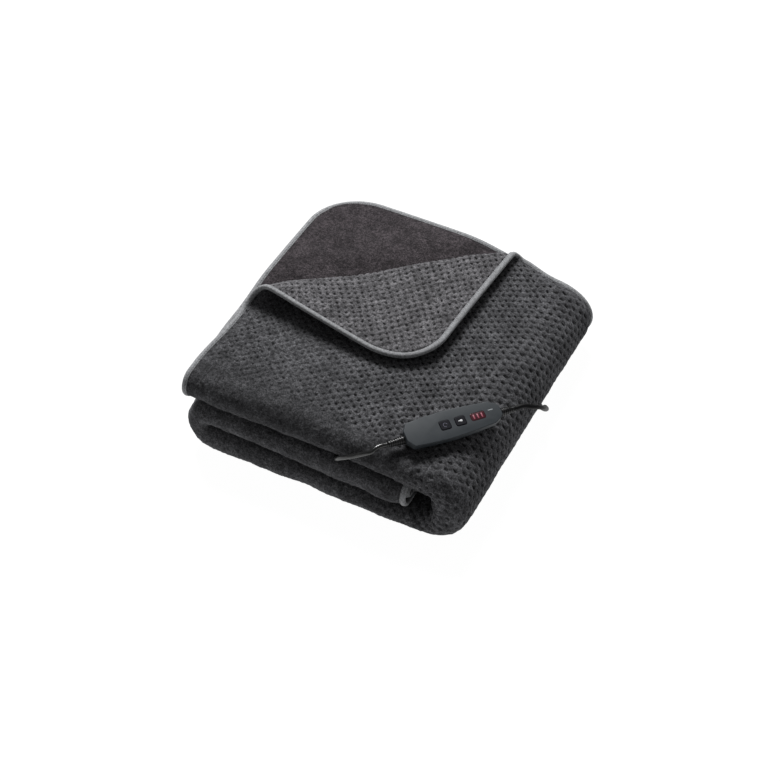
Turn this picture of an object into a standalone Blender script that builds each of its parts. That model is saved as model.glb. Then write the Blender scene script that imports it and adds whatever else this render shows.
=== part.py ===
"""Electric heated blanket, folded into a square pile, with its hand controller and leads.

The cloth is one sheet with rounded corners and a bound edge.  It is cut flat, folded in
four across its length, one corner of the top layer is turned over, and the four-layer
strip is then rolled in three: a top bundle, a bottom bundle and, between them, a middle
bundle whose bound end shows inside the right-hand fold.  A hand controller lies on the
front right corner, with a short lead that goes back between the folds and a mains lead
that drops over the right-hand side, round the back, and ends in a coil and a plug.

Sizes are millimetres here and become metres when a mesh is finished.  +X runs along the
front edge to the right, +Y runs to the back, +Z is up, and the floor is z = 0.
"""

import math
from collections import namedtuple

import bmesh
import bpy
from mathutils import Matrix, Vector

MM = 0.001

# ---------------------------------------------------------------- driving dimensions
HALF_WIDTH = 192.0          # the pile, left to right
HALF_DEPTH = 200.0          # the pile, front to back
CLOTH = 6.0                 # thickness of the two-layer fleece
HEM_CLOTH = 3.0             # the same cloth, pressed flat under the binding
CORNER_RADIUS = 72.0        # rounded corners of the cut sheet
CORNER_BLOCK = 96.0         # the part of the grid that each corner bends

TAPE_WIDTH = 5.5            # binding, as it shows on each face
TAPE_THICK = 0.8
FIT_GAP = 0.35              # between pieces that touch
HEM_RAMP = 20.0             # distance from the edge at which the cloth has its full loft

RIGHT_BEND_X = 136.0        # centre of the big fold on the right
RIGHT_BEND_Z = 52.0
RIGHT_BEND_RADIUS = 35.0    # to the middle of the four-layer strip
LEFT_BEND_X = -155.0        # centre of the small fold on the left
LEFT_BEND_Z = 40.0
LEFT_BEND_RADIUS = 20.2
MIDDLE_END_X = 112.0        # where the middle bundle ends, inside the right fold
TOP_BACK_Y = 196.5          # the top layer's free back edge, a little short of the pile's
FRONT_LEFT_EASE = 4.2       # the top bundle's left end draws in this much at the front
FRONT_EASE_Y = -80.0        # from here to the front,
FRONT_EASE_REACH = 100.0    # fully at this distance from it
LOOP_PULL = 10.8            # and the turned corner draws the top layer in this much
LEFT_EASE_X = -95.0         # all three act to the left of this,
LEFT_EASE_REACH = 95.0      # fully at this distance from it
LOOP_PULL_Y = -170.0        # the turned corner's pull starts here,
LOOP_PULL_REACH = 90.0      # fully at this distance towards the back
INNER_TUCK = 10.0           # the layers inside the bundle draw in this much at the back,
TUCK_Y = 110.0              # from here,
TUCK_REACH = 80.0           # fully at this distance towards the back
SLACK_AT_BEND = 0.75        # how far the inner layers buckle in at the right fold

CROWN = 0.050               # the pile is this much taller in its middle,
CROWN_END_X = 140.0         # fading from x = 0 to here,
BACK_SAG = 0.12             # and this much lower at its back right corner,
SAG_START = (20.0, -20.0)   # from this x and y
SAG_REACH = (150.0, 200.0)  # over these distances
BACK_DROOP = 0.045          # its back edge hangs down this much more, right of the
DROOP_START = (90.0, 178.0)  # turned corner: from this x and y
DROOP_REACH = (35.0, 16.0)  # over these distances

# The turned corner: the line it is folded along, and the loose roll of the fold.
# The grid is made finer between each pair of distances past that line.
FINER_PAST_FOLD = ((-26.0, 400.0), (-14.0, 44.0))
FOLD_START = (-192.0, -76.6)
FOLD_ANGLE = math.radians(44.0)
ROLL_LEFT = 16.3            # radius of the loop at its open left end
ROLL_RIGHT = 5.8            # radius where it is pinched
ROLL_FADE = 195.0
FLAP_REST = 10.2            # from the layer below to the flap, middle to middle
FALL_START = 67.5           # past the roll, the flap keeps its height for this far,
FLAP_FALL = 232.0           # and then settles on the layer below over this length
BARE_LIFT = 7.0             # the layer that the turned corner uncovers rises this much,
LIFT_START = 12.0           # from this far past the fold line
LIFT_REACH = 55.0           # and fully this much farther

BundleRow = namedtuple("BundleRow", "x middle_z ply_step")
TOP_ROWS = (
    BundleRow(-192.0, 99.0, 11.3),
    BundleRow(-120.0, 98.6, 11.0),
    BundleRow(-50.0, 98.5, 10.8),
    BundleRow(20.0, 97.5, 10.5),
    BundleRow(65.0, 95.6, 10.4),
    BundleRow(100.0, 92.0, 10.3),
    BundleRow(136.0, 87.0, 10.3),
)
MIDDLE_ROWS = (
    BundleRow(-155.0, 60.2, 9.6),
    BundleRow(-60.0, 58.2, 10.2),
    BundleRow(0.0, 54.5, 11.0),
    BundleRow(60.0, 51.8, 11.3),
    BundleRow(112.0, 51.2, 10.9),
)
BottomRow = namedtuple("BottomRow", "x ply_step")
BOTTOM_ROWS = (
    BottomRow(-155.0, 11.2),
    BottomRow(-60.0, 10.2),
    BottomRow(0.0, 9.1),
    BottomRow(60.0, 8.0),
    BottomRow(100.0, 7.6),
    BottomRow(120.0, 8.1),
    BottomRow(136.0, 9.33),
)

# ---------------------------------------------------------------- controller
CONTROLLER_AT = (131.5, -117.8, 105.0)  # near the middle of its base
CONTROLLER_TURN = math.radians(50.5)    # its length, from +X towards +Y
CONTROLLER_FALL = (0.30, -0.12)         # the pile falls this much towards +X and -Y there
SHELL_HEIGHT = 16.0
PARTING_HEIGHT = 8.0
SHELL_EDGE = 1.4
FOOT_SHARE = 0.76                       # width of the base, of the width at the parting
OutlineRow = namedtuple("OutlineRow", "along half_width")
SHELL_OUTLINE = (
    OutlineRow(-62.5, 6.5),
    OutlineRow(-56.0, 15.8),
    OutlineRow(-30.0, 17.8),
    OutlineRow(-5.0, 18.4),
    OutlineRow(22.0, 17.0),
    OutlineRow(50.0, 14.4),
    OutlineRow(58.5, 10.0),
    OutlineRow(62.5, 6.0),
)
SHELL_END = 62.5
BASE_HALF_WIDTH = 14.0
POCKET_DEPTH = 4.6
POCKET_CORNER = 1.2
BUTTON_ALONG = 13.4
BUTTON_ACROSS = 12.0
BUTTON_HEIGHT = 3.9
BUTTON_PROUD = 0.7
BUTTON_EDGE = 0.9
POWER_BUTTON_AT = -11.3
HEAT_BUTTON_AT = 8.8
WINDOW_AT = 31.7
WINDOW_ALONG = 18.6
WINDOW_ACROSS = 9.6
WINDOW_THICK = 2.0
WINDOW_EDGE = 0.6
RELIEF_AT = 7.0             # height of both strain reliefs' middles above the base
RELIEF_LENGTH = 21.0
RELIEF_ROOT = 5.2
RELIEF_TIP = 3.9
RELIEF_RIBS = 5
RIB_SINK = 0.8              # grooves between the ribs

# ---------------------------------------------------------------- leads
LEAD = 5.8                  # diameter of both leads
LEAD_STEP = 2.1 * LEAD      # between the points of a lead's own solid
FLOOR_RUN = 3.3             # height of a lead's centre where it lies on the floor
RoutePoint = namedtuple("RoutePoint", "x y z")
BLANKET_LEAD_ROUTE = (      # over the front edge and into the gap under the top bundle
    RoutePoint(71.3, -202.6, 121.9),
    RoutePoint(66.0, -204.7, 119.2),
    RoutePoint(53.7, -206.4, 110.5),
    RoutePoint(40.8, -207.0, 101.6),
    RoutePoint(31.8, -205.5, 94.1),
    RoutePoint(26.0, -202.3, 86.8),
    RoutePoint(22.2, -197.5, 80.9),
    RoutePoint(19.0, -191.5, 77.6),
    RoutePoint(16.5, -187.0, 76.8),
)
MAINS_LEAD_ROUTE = (        # over the right-hand side, along it and across the back
    RoutePoint(201.6, -37.0, 103.5),
    RoutePoint(207.5, -28.5, 97.5),
    RoutePoint(209.3, -20.0, 89.5),
    RoutePoint(207.5, -10.0, 80.0),
    RoutePoint(204.9, 0.5, 68.0),
    RoutePoint(202.4, 10.0, 56.5),
    RoutePoint(199.4, 20.0, 44.0),
    RoutePoint(194.5, 31.0, 30.5),
    RoutePoint(188.0, 42.0, 17.5),
    RoutePoint(179.5, 53.0, 7.3),
    RoutePoint(170.5, 66.0, FLOOR_RUN),
    RoutePoint(167.5, 84.0, FLOOR_RUN),
    RoutePoint(167.5, 140.0, FLOOR_RUN),
    RoutePoint(167.5, 200.0, FLOOR_RUN),
    RoutePoint(164.0, 212.0, FLOOR_RUN),
    RoutePoint(155.0, 220.5, FLOOR_RUN),
    RoutePoint(143.0, 223.0, FLOOR_RUN),
    RoutePoint(110.0, 220.0, FLOOR_RUN),
    RoutePoint(60.0, 211.5, FLOOR_RUN),
    RoutePoint(20.0, 208.0, FLOOR_RUN),
    RoutePoint(-30.0, 207.2, FLOOR_RUN),
    RoutePoint(-76.0, 208.2, FLOOR_RUN),
)
COIL_MIDDLE = 5.0 * LEAD    # radius to the middle of the turns
COIL_THICK = 3.0 * LEAD     # three turns wide and three high
COIL_AT = (-100.0, 241.2)
TAIL_TURN = math.radians(-30.0)     # direction in which the lead leaves the coil
TAIL_START = 20.9           # along that direction, past the coil's middle
TAIL_LENGTH = 18.0
PLUG_MIDDLE_Z = 7.2
PLUG_THICK = 13.7
PLUG_OUTLINE = (
    OutlineRow(0.0, 5.5),
    OutlineRow(9.0, 7.5),
    OutlineRow(20.0, 16.0),
    OutlineRow(25.0, 17.5),
    OutlineRow(38.0, 17.5),
)
PIN_LENGTH = 19.0
PIN_DIAMETER = 4.0
PIN_SPREAD = 18.0

Colour = namedtuple("Colour", "red green blue")
CHARCOAL = Colour(0.055, 0.055, 0.060)
GREY_TAPE = Colour(0.250, 0.255, 0.262)
SLATE = Colour(0.060, 0.075, 0.080)
BUTTON_BLACK = Colour(0.018, 0.020, 0.028)
WINDOW_RED = Colour(0.120, 0.012, 0.020)
RUBBER_BLACK = Colour(0.012, 0.012, 0.013)
METAL = Colour(0.620, 0.600, 0.560)


# ---------------------------------------------------------------- small helpers
def clear_scene():
    """Start from an empty scene."""
    for item in list(bpy.data.objects):
        bpy.data.objects.remove(item, do_unlink=True)


def make_material(name, colour, roughness, metallic=0.0):
    """A Principled material with one colour."""
    material = bpy.data.materials.new(name)
    material.use_nodes = True
    shader = material.node_tree.nodes["Principled BSDF"]
    shader.inputs["Base Color"].default_value = (*colour, 1.0)
    shader.inputs["Roughness"].default_value = roughness
    shader.inputs["Metallic"].default_value = metallic
    return material


def finish_mesh(name, solid, material, smooth_angle=35.0):
    """Turn a bmesh in millimetres into an object in metres with one material."""
    bmesh.ops.scale(solid, vec=(MM, MM, MM), verts=solid.verts)
    bmesh.ops.recalc_face_normals(solid, faces=solid.faces)
    mesh = bpy.data.meshes.new(name)
    solid.to_mesh(mesh)
    solid.free()
    mesh.materials.append(material)
    mesh.shade_smooth()
    mesh.set_sharp_from_angle(angle=math.radians(smooth_angle))
    item = bpy.data.objects.new(name, mesh)
    bpy.context.scene.collection.objects.link(item)
    return item


def smooth(value):
    """Ease from 0 to 1 as value goes from 0 to 1."""
    value = min(1.0, max(0.0, value))
    return value * value * (3.0 - 2.0 * value)


def mix(start, end, share):
    """The value that lies share of the way from start to end."""
    return start + (end - start) * share


def read_rows(rows, x, column):
    """Read one column of a table of rows at x, on a smooth curve through the rows."""
    last = len(rows) - 2
    index = 0
    while index < last and x > rows[index + 1].x:
        index += 1
    before = rows[max(index - 1, 0)]
    left, right = rows[index], rows[index + 1]
    after = rows[min(index + 2, len(rows) - 1)]
    span = right.x - left.x
    share = (x - left.x) / span
    left_slope = (getattr(right, column) - getattr(before, column)) / (right.x - before.x)
    right_slope = (getattr(after, column) - getattr(left, column)) / (after.x - left.x)
    square, cube = share * share, share * share * share
    return (
        (2 * cube - 3 * square + 1) * getattr(left, column)
        + (cube - 2 * square + share) * span * left_slope
        + (3 * square - 2 * cube) * getattr(right, column)
        + (cube - square) * span * right_slope
    )


# ---------------------------------------------------------------- the folds of the cloth
TOP_LENGTH = HALF_WIDTH + RIGHT_BEND_X
RIGHT_BEND_LENGTH = math.pi * RIGHT_BEND_RADIUS
BOTTOM_LENGTH = RIGHT_BEND_X - LEFT_BEND_X
LEFT_BEND_LENGTH = math.pi * LEFT_BEND_RADIUS
MIDDLE_LENGTH = MIDDLE_END_X - LEFT_BEND_X
STRIP_LENGTH = (
    TOP_LENGTH + RIGHT_BEND_LENGTH + BOTTOM_LENGTH + LEFT_BEND_LENGTH + MIDDLE_LENGTH
)

NOMINAL_STEP = 10.3
FRONT_TURN_Y = -HALF_DEPTH + 1.5 * NOMINAL_STEP + CLOTH / 2
BACK_TURN_Y = HALF_DEPTH - 0.5 * NOMINAL_STEP - CLOTH / 2 - 4.0
TOP_PLY = TOP_BACK_Y - FRONT_TURN_Y
SECOND_PLY = HALF_DEPTH - FRONT_TURN_Y
SHORT_PLY = BACK_TURN_Y - FRONT_TURN_Y
OUTER_TURN = 1.5 * math.pi * NOMINAL_STEP
INNER_TURN = 0.5 * math.pi * NOMINAL_STEP
SHEET_WIDTH = TOP_PLY + SECOND_PLY + 2 * SHORT_PLY + OUTER_TURN + 2 * INNER_TURN


def strip_path(along):
    """Middle of the four-layer strip, rolled in three.

    Returns x, z, the strip's outward direction in x and z, the step from layer to layer,
    and how strongly the inner layers buckle.
    """
    if along <= TOP_LENGTH:
        x = along - HALF_WIDTH
        return (x, read_rows(TOP_ROWS, x, "middle_z"), 0.0, 1.0,
                read_rows(TOP_ROWS, x, "ply_step"), 0.0)
    along -= TOP_LENGTH
    if along <= RIGHT_BEND_LENGTH:
        share = along / RIGHT_BEND_LENGTH
        turn = math.pi * (0.5 - share)
        step = mix(TOP_ROWS[-1].ply_step, BOTTOM_ROWS[-1].ply_step, smooth(share))
        out_x, out_z = math.cos(turn), math.sin(turn)
        return (RIGHT_BEND_X + RIGHT_BEND_RADIUS * out_x,
                RIGHT_BEND_Z + RIGHT_BEND_RADIUS * out_z,
                out_x, out_z, step, SLACK_AT_BEND * out_x * out_x)
    along -= RIGHT_BEND_LENGTH
    if along <= BOTTOM_LENGTH:
        x = RIGHT_BEND_X - along
        step = read_rows(BOTTOM_ROWS, x, "ply_step")
        return (x, 1.5 * step + CLOTH / 2, 0.0, -1.0, step, 0.0)
    along -= BOTTOM_LENGTH
    if along <= LEFT_BEND_LENGTH:
        share = along / LEFT_BEND_LENGTH
        turn = -math.pi * (0.5 + share)
        step = mix(BOTTOM_ROWS[0].ply_step, MIDDLE_ROWS[0].ply_step, smooth(1.6 * share))
        out_x, out_z = math.cos(turn), math.sin(turn)
        return (LEFT_BEND_X + LEFT_BEND_RADIUS * out_x,
                LEFT_BEND_Z + LEFT_BEND_RADIUS * out_z, out_x, out_z, step, 0.0)
    x = LEFT_BEND_X + along - LEFT_BEND_LENGTH
    return (x, read_rows(MIDDLE_ROWS, x, "middle_z"), 0.0, 1.0,
            read_rows(MIDDLE_ROWS, x, "ply_step"), 0.0)


def ply_section(across, step):
    """The fold in four: y, height in the strip, and the cloth's own outward direction.

    The top layer comes first, from its free back edge, then the layer at the bottom of
    the strip, the one above that, and last the second layer with its own free back edge.
    """
    if across <= TOP_PLY:
        return TOP_BACK_Y - across, 1.5 * step, 0.0, 1.0
    across -= TOP_PLY
    if across <= OUTER_TURN:
        turn = math.pi * (0.5 + across / OUTER_TURN)
        out_y, out_h = math.cos(turn), math.sin(turn)
        return FRONT_TURN_Y + 1.5 * NOMINAL_STEP * out_y, 1.5 * step * out_h, out_y, out_h
    across -= OUTER_TURN
    if across <= SHORT_PLY:
        return FRONT_TURN_Y + across, -1.5 * step, 0.0, -1.0
    across -= SHORT_PLY
    if across <= INNER_TURN:
        turn = math.pi * (across / INNER_TURN - 0.5)
        out_y, out_h = math.cos(turn), math.sin(turn)
        return BACK_TURN_Y + 0.5 * step * out_y, (0.5 * out_h - 1.0) * step, out_y, out_h
    across -= INNER_TURN
    if across <= SHORT_PLY:
        return BACK_TURN_Y - across, -0.5 * step, 0.0, 1.0
    across -= SHORT_PLY
    if across <= INNER_TURN:
        turn = math.pi * (across / INNER_TURN - 0.5)
        out_y, out_h = math.cos(turn), math.sin(turn)
        return FRONT_TURN_Y - 0.5 * step * out_y, 0.5 * out_h * step, out_y, -out_h
    across -= INNER_TURN
    return FRONT_TURN_Y + across, 0.5 * step, 0.0, -1.0


FOLD_ALONG = Vector((math.cos(FOLD_ANGLE), math.sin(FOLD_ANGLE)))
FOLD_ACROSS = Vector((-math.sin(FOLD_ANGLE), math.cos(FOLD_ANGLE)))


def fold_distance(x, y):
    """Distance past the turned corner's fold line, and place along that line."""
    away = Vector((x - FOLD_START[0], y - FOLD_START[1]))
    return away.dot(FOLD_ACROSS), away.dot(FOLD_ALONG)


def turn_corner(x, y, offset):
    """Roll a point of the top layer over the fold line.

    offset is the point's height from the layer's middle.  Returns the new x, y and offset.
    """
    past, place = fold_distance(x, y)
    if past <= 0.0:
        return x, y, offset
    radius = mix(ROLL_LEFT, ROLL_RIGHT, smooth(place / ROLL_FADE))
    turn = min(past / radius, math.pi)
    flat = max(0.0, past - math.pi * radius)
    reach = (radius - offset) * math.sin(turn) - flat
    height = radius - (radius - offset) * math.cos(turn)
    if flat > 0.0:
        settled = smooth((flat - FALL_START) / FLAP_FALL)
        height += (FLAP_REST - 2 * radius) * settled
    base = Vector(FOLD_START) + FOLD_ALONG * place + FOLD_ACROSS * reach
    return base.x, base.y, height


def pile_height(x, y):
    """How much taller or lower than its tables the pile is at a point of the floor."""
    middle = 1.0 - (y / HALF_DEPTH) ** 2
    crown = CROWN * middle * (1.0 - smooth(x / CROWN_END_X))
    right = smooth((x - SAG_START[0]) / SAG_REACH[0])
    sag = BACK_SAG * right * smooth((y - SAG_START[1]) / SAG_REACH[1])
    beside_flap = smooth((x - DROOP_START[0]) / DROOP_REACH[0])
    droop = BACK_DROOP * beside_flap * smooth((y - DROOP_START[1]) / DROOP_REACH[1])
    return 1.0 + crown - sag - droop


def folded_point(along, across, offset):
    """Carry a point of the flat sheet through every fold.

    along and across are its place on the sheet, offset its height above the sheet's
    middle.  Returns x, y, z in millimetres.
    """
    x, middle_z, out_x, out_z, step, buckle = strip_path(min(max(along, 0.0), STRIP_LENGTH))
    y, height, cloth_y, cloth_h = ply_section(min(max(across, 0.0), SHEET_WIDTH), step)
    over_start = min(along, 0.0)
    over_end = max(along - STRIP_LENGTH, 0.0)
    over_back = max(-across, 0.0) + max(across - SHEET_WIDTH, 0.0)
    x += over_start + over_end
    y += offset * cloth_y + over_back
    if height < 0.0:
        height *= 1.0 + buckle
    height += offset * cloth_h
    on_top_layer = across <= TOP_PLY
    past, _ = fold_distance(x, y)
    if on_top_layer and along < TOP_LENGTH and past > 0.0:
        x, y, offset = turn_corner(x, y, height - 1.5 * step)
        height = 1.5 * step + offset
    elif along < TOP_LENGTH and not on_top_layer:
        level = min(1.0, max(0.0, (height + 1.5 * step) / (2 * step)))
        height += BARE_LIFT * smooth((past - LIFT_START) / LIFT_REACH) * level
    if along < TOP_LENGTH:
        near_left = smooth((LEFT_EASE_X - x) / LEFT_EASE_REACH)
        x += FRONT_LEFT_EASE * smooth((FRONT_EASE_Y - y) / FRONT_EASE_REACH) * near_left
        if on_top_layer:
            x += LOOP_PULL * smooth((y - LOOP_PULL_Y) / LOOP_PULL_REACH) * near_left
        elif across < SHEET_WIDTH - SECOND_PLY:
            x += INNER_TUCK * smooth((y - TUCK_Y) / TUCK_REACH) * near_left
    x += out_x * height
    z = middle_z + out_z * height
    return Vector((x, y, z * pile_height(x, y)))


# ---------------------------------------------------------------- the flat sheet
def spread(start, end, count):
    """count values after start, evenly spaced, the last one being end."""
    return [mix(start, end, (i + 1) / count) for i in range(count)]


def sheet_columns():
    """Grid lines along the strip."""
    lines = [0.0, TAPE_WIDTH, HEM_RAMP]
    lines += spread(HEM_RAMP, CORNER_BLOCK, 4) + spread(CORNER_BLOCK, TOP_LENGTH, 8)
    for length, count in ((RIGHT_BEND_LENGTH, 7), (BOTTOM_LENGTH, 8), (LEFT_BEND_LENGTH, 6)):
        lines += spread(lines[-1], lines[-1] + length, count)
    lines += spread(lines[-1], STRIP_LENGTH - HEM_RAMP, 4)
    return lines + [STRIP_LENGTH - TAPE_WIDTH, STRIP_LENGTH]


def sheet_rows():
    """Grid lines across the sheet."""
    lines = [0.0, TAPE_WIDTH, HEM_RAMP]
    lines += spread(HEM_RAMP, CORNER_BLOCK, 4) + spread(CORNER_BLOCK, TOP_PLY, 9)
    for length, count in ((OUTER_TURN, 6), (SHORT_PLY, 3), (INNER_TURN, 3),
                          (SHORT_PLY, 2), (INNER_TURN, 3)):
        lines += spread(lines[-1], lines[-1] + length, count)
    lines += spread(lines[-1], SHEET_WIDTH - CORNER_BLOCK, 4)
    lines += spread(lines[-1], SHEET_WIDTH - HEM_RAMP, 4)
    return lines + [SHEET_WIDTH - TAPE_WIDTH, SHEET_WIDTH]


def rounded(along, across, proud=0.0):
    """Bend the square grid near a corner so that the sheet's corner is round.

    Lines at one distance from the edge stay at that distance.  proud moves a point of the
    edge outwards.
    """
    end = min(along, STRIP_LENGTH - along)
    side = min(across, SHEET_WIDTH - across)
    if end >= CORNER_BLOCK or side >= CORNER_BLOCK:
        new_end = end - (proud if end < side else 0.0)
        new_side = side - (proud if side < end else 0.0)
    else:
        reach = CORNER_BLOCK - min(end, side)
        share = (CORNER_BLOCK - max(end, side)) / reach
        reach += proud
        radius = max(CORNER_RADIUS + reach - CORNER_BLOCK, 0.0)
        straight = reach - radius
        travel = share * (straight + radius * math.pi / 4)
        turn = max(travel - straight, 0.0) / max(radius, 1.0)
        far = CORNER_BLOCK - straight - radius * math.cos(turn)
        near = CORNER_BLOCK - min(travel, straight) - radius * math.sin(turn)
        new_end, new_side = (far, near) if end <= side else (near, far)
    new_along = new_end if along < STRIP_LENGTH / 2 else STRIP_LENGTH - new_end
    new_across = new_side if across < SHEET_WIDTH / 2 else SHEET_WIDTH - new_side
    return new_along, new_across


def edge_distance(along, across):
    """Distance from the sheet's edge, on the square grid before its corners are rounded."""
    return min(along, STRIP_LENGTH - along, across, SHEET_WIDTH - across)


def in_flap(face, low, high):
    """Does this face of the flat grid lie between two distances past the fold line?"""
    centre = face.calc_center_median()
    if centre.y > TOP_PLY or centre.x > TOP_LENGTH:
        return False
    past, _ = fold_distance(centre.x - HALF_WIDTH, TOP_BACK_Y - centre.y)
    return low < past < high


def split_towards_fold(sheet):
    """Cut each four-sided face along the diagonal that runs with the turned corner's fold."""
    for face in [f for f in sheet.faces if len(f.verts) == 4]:
        first = max(face.verts, key=lambda v: v.co.x - v.co.y)
        second = min(face.verts, key=lambda v: v.co.x - v.co.y)
        if not any(first in e.verts and second in e.verts for e in face.edges):
            bmesh.utils.face_split(face, first, second)


def flat_sheet():
    """The cut sheet as one layer of triangles: x is along, y is across."""
    columns, rows = sheet_columns(), sheet_rows()
    sheet = bmesh.new()
    bmesh.ops.create_grid(
        sheet, x_segments=len(columns) - 1, y_segments=len(rows) - 1, size=0.5)
    for vert in sheet.verts:
        column = round((vert.co.x + 0.5) * (len(columns) - 1))
        row = round((vert.co.y + 0.5) * (len(rows) - 1))
        vert.co = (columns[column], rows[row], 0.0)
    for low, high in FINER_PAST_FOLD:
        chosen = [f for f in sheet.faces if in_flap(f, low, high)]
        edges = list({e for f in chosen for e in f.edges})
        bmesh.ops.subdivide_edges(sheet, edges=edges, cuts=1, use_grid_fill=True)
    split_towards_fold(sheet)
    bmesh.ops.triangulate(sheet, faces=sheet.faces)
    return sheet


def cloth_half(edge):
    """Half the cloth's thickness at a distance from the sheet's edge."""
    share = smooth((edge - TAPE_WIDTH) / (HEM_RAMP - TAPE_WIDTH))
    return mix(HEM_CLOTH, CLOTH, share) / 2


def build_cloth(material):
    """The blanket: one sheet of fleece, folded."""
    solid = flat_sheet()
    raised = bmesh.ops.extrude_face_region(
        solid, geom=list(solid.faces), use_keep_orig=True)
    top = {v for v in raised["geom"] if isinstance(v, bmesh.types.BMVert)}
    for vert in solid.verts:
        along, across = vert.co.x, vert.co.y
        half = cloth_half(edge_distance(along, across))
        vert.co = folded_point(*rounded(along, across), half if vert in top else -half)
    return finish_mesh("blanket_cloth", solid, material, 60.0)


def rim_edges(solid, level, inner):
    """Edges of one skin of the flat binding that lie on its inner or its outer rim."""
    found = []
    for edge in solid.edges:
        if not edge.is_boundary or any(abs(v.co.z - level) > 0.1 for v in edge.verts):
            continue
        nearest = min(edge_distance(v.co.x, v.co.y) for v in edge.verts)
        if inner == (nearest > TAPE_WIDTH / 2):
            found.append(edge)
    return found


def build_binding(material):
    """The edge binding: one folded tape, all round, that straddles the cloth's edge."""
    outside, inside = 2.0, 1.0
    solid = flat_sheet()
    middle = [f for f in solid.faces
              if any(edge_distance(v.co.x, v.co.y) > TAPE_WIDTH + 0.01 for v in f.verts)]
    bmesh.ops.delete(solid, geom=middle, context="FACES")
    first = list(solid.faces)
    for level in (inside, -inside, -outside):
        copy = bmesh.ops.duplicate(solid, geom=first)
        skin = [v for v in copy["geom"] if isinstance(v, bmesh.types.BMVert)]
        bmesh.ops.translate(solid, vec=(0.0, 0.0, level), verts=skin)
    bmesh.ops.translate(
        solid, vec=(0.0, 0.0, outside), verts=list({v for f in first for v in f.verts}))
    for low, high, inner in ((outside, inside, True), (-inside, -outside, True),
                             (inside, -inside, False), (outside, -outside, False)):
        rims = rim_edges(solid, low, inner) + rim_edges(solid, high, inner)
        bmesh.ops.bridge_loops(solid, edges=rims)
    for vert in solid.verts:
        along, across, level = vert.co
        extra = TAPE_THICK if abs(level) > 1.5 else 0.0
        on_edge = edge_distance(along, across) < 0.01
        place = rounded(along, across, FIT_GAP + extra if on_edge else 0.0)
        half = math.copysign(HEM_CLOTH / 2 + FIT_GAP + extra, level)
        vert.co = folded_point(*place, half)
    return finish_mesh("edge_binding", solid, material, 40.0)


# ---------------------------------------------------------------- the controller
def controller_axes():
    """Directions of the controller's length, width and height, square to each other."""
    up = Vector((*CONTROLLER_FALL, 1.0)).normalized()
    level = Vector((math.cos(CONTROLLER_TURN), math.sin(CONTROLLER_TURN), 0.0))
    length = (level - up * level.dot(up)).normalized()
    return length, up.cross(length), up


def controller_frame():
    """Where the controller's base lies: just clear of the highest cloth under it."""
    length, width, up = controller_axes()
    start = Vector(CONTROLLER_AT)
    seat = -HALF_WIDTH
    for along in spread(180.0, TOP_LENGTH + RIGHT_BEND_LENGTH / 2, 60):
        for across in spread(180.0, TOP_PLY, 60):
            away = folded_point(along, across, CLOTH / 2) - start
            under = abs(away.dot(length)) < SHELL_END
            if under and abs(away.dot(width)) < BASE_HALF_WIDTH:
                seat = max(seat, away.dot(up))
    base = start + up * (seat + FIT_GAP)
    frame = Matrix((length, width, up)).transposed().to_4x4()
    return Matrix.Translation(base * MM) @ frame


def place(item, frame, spot=(0.0, 0.0, 0.0)):
    """Put an object at a spot of the controller, in millimetres from its base."""
    item.matrix_world = frame @ Matrix.Translation(Vector(spot) * MM)


def plate_solid(rows, low, high, *rims, foot=1.0):
    """A plate of a tabled outline between two heights, its rims at some heights rounded.

    foot is the width of its underside, as a share of the width at its top.
    """
    solid = bmesh.new()
    points = [(row.along, row.half_width) for row in rows]
    points += [(row.along, -row.half_width) for row in reversed(rows)]
    outline = solid.faces.new([solid.verts.new((*point, low)) for point in points])
    grown = bmesh.ops.extrude_face_region(solid, geom=[outline], use_keep_orig=True)
    upper = [v for v in grown["geom"] if isinstance(v, bmesh.types.BMVert)]
    bmesh.ops.translate(solid, vec=(0.0, 0.0, high - low), verts=upper)
    bmesh.ops.scale(solid, vec=((3.0 + foot) / 4, foot, 1.0), verts=outline.verts)
    bmesh.ops.recalc_face_normals(solid, faces=solid.faces)
    rim = [e for e in solid.edges if e.verts[0].co.z == e.verts[1].co.z in rims]
    bmesh.ops.bevel(solid, geom=rim, offset=SHELL_EDGE, offset_type="OFFSET", segments=2,
                    profile=0.5, affect="EDGES", material=-1)
    return solid


def block_solid(along, across, high, edge):
    """A block on its base, with its upright and top edges rounded."""
    solid = bmesh.new()
    bmesh.ops.create_cube(solid, size=1.0)
    bmesh.ops.scale(solid, vec=(along, across, high), verts=solid.verts)
    bmesh.ops.translate(solid, vec=(0.0, 0.0, high / 2), verts=solid.verts)
    rounded_edges = [e for e in solid.edges if any(v.co.z > 0.01 for v in e.verts)]
    bmesh.ops.bevel(solid, geom=rounded_edges, offset=edge, offset_type="OFFSET",
                    segments=2, profile=0.5, affect="EDGES", material=-1)
    return solid


def cut_pocket(shell, frame, at, along, across, depth):
    """Cut a pocket down into the top of the upper shell."""
    solid = bmesh.new()
    bmesh.ops.create_cube(solid, size=1.0)
    height = 2 * depth
    bmesh.ops.scale(solid, vec=(along + 2 * FIT_GAP, across + 2 * FIT_GAP, height),
                    verts=solid.verts)
    upright = [e for e in solid.edges if abs(e.verts[0].co.z - e.verts[1].co.z) > 0.1]
    bmesh.ops.bevel(solid, geom=upright, offset=POCKET_CORNER, offset_type="OFFSET", segments=2,
                    profile=0.5, affect="EDGES", material=-1)
    cutter = finish_mesh(f"pocket_at_{at:.0f}", solid, shell.data.materials[0])
    place(cutter, frame, (at, 0.0, SHELL_HEIGHT))
    cutter.hide_render = True
    cutter.display_type = "WIRE"
    cut = shell.modifiers.new(cutter.name, "BOOLEAN")
    cut.operation = "DIFFERENCE"
    cut.object = cutter


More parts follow.
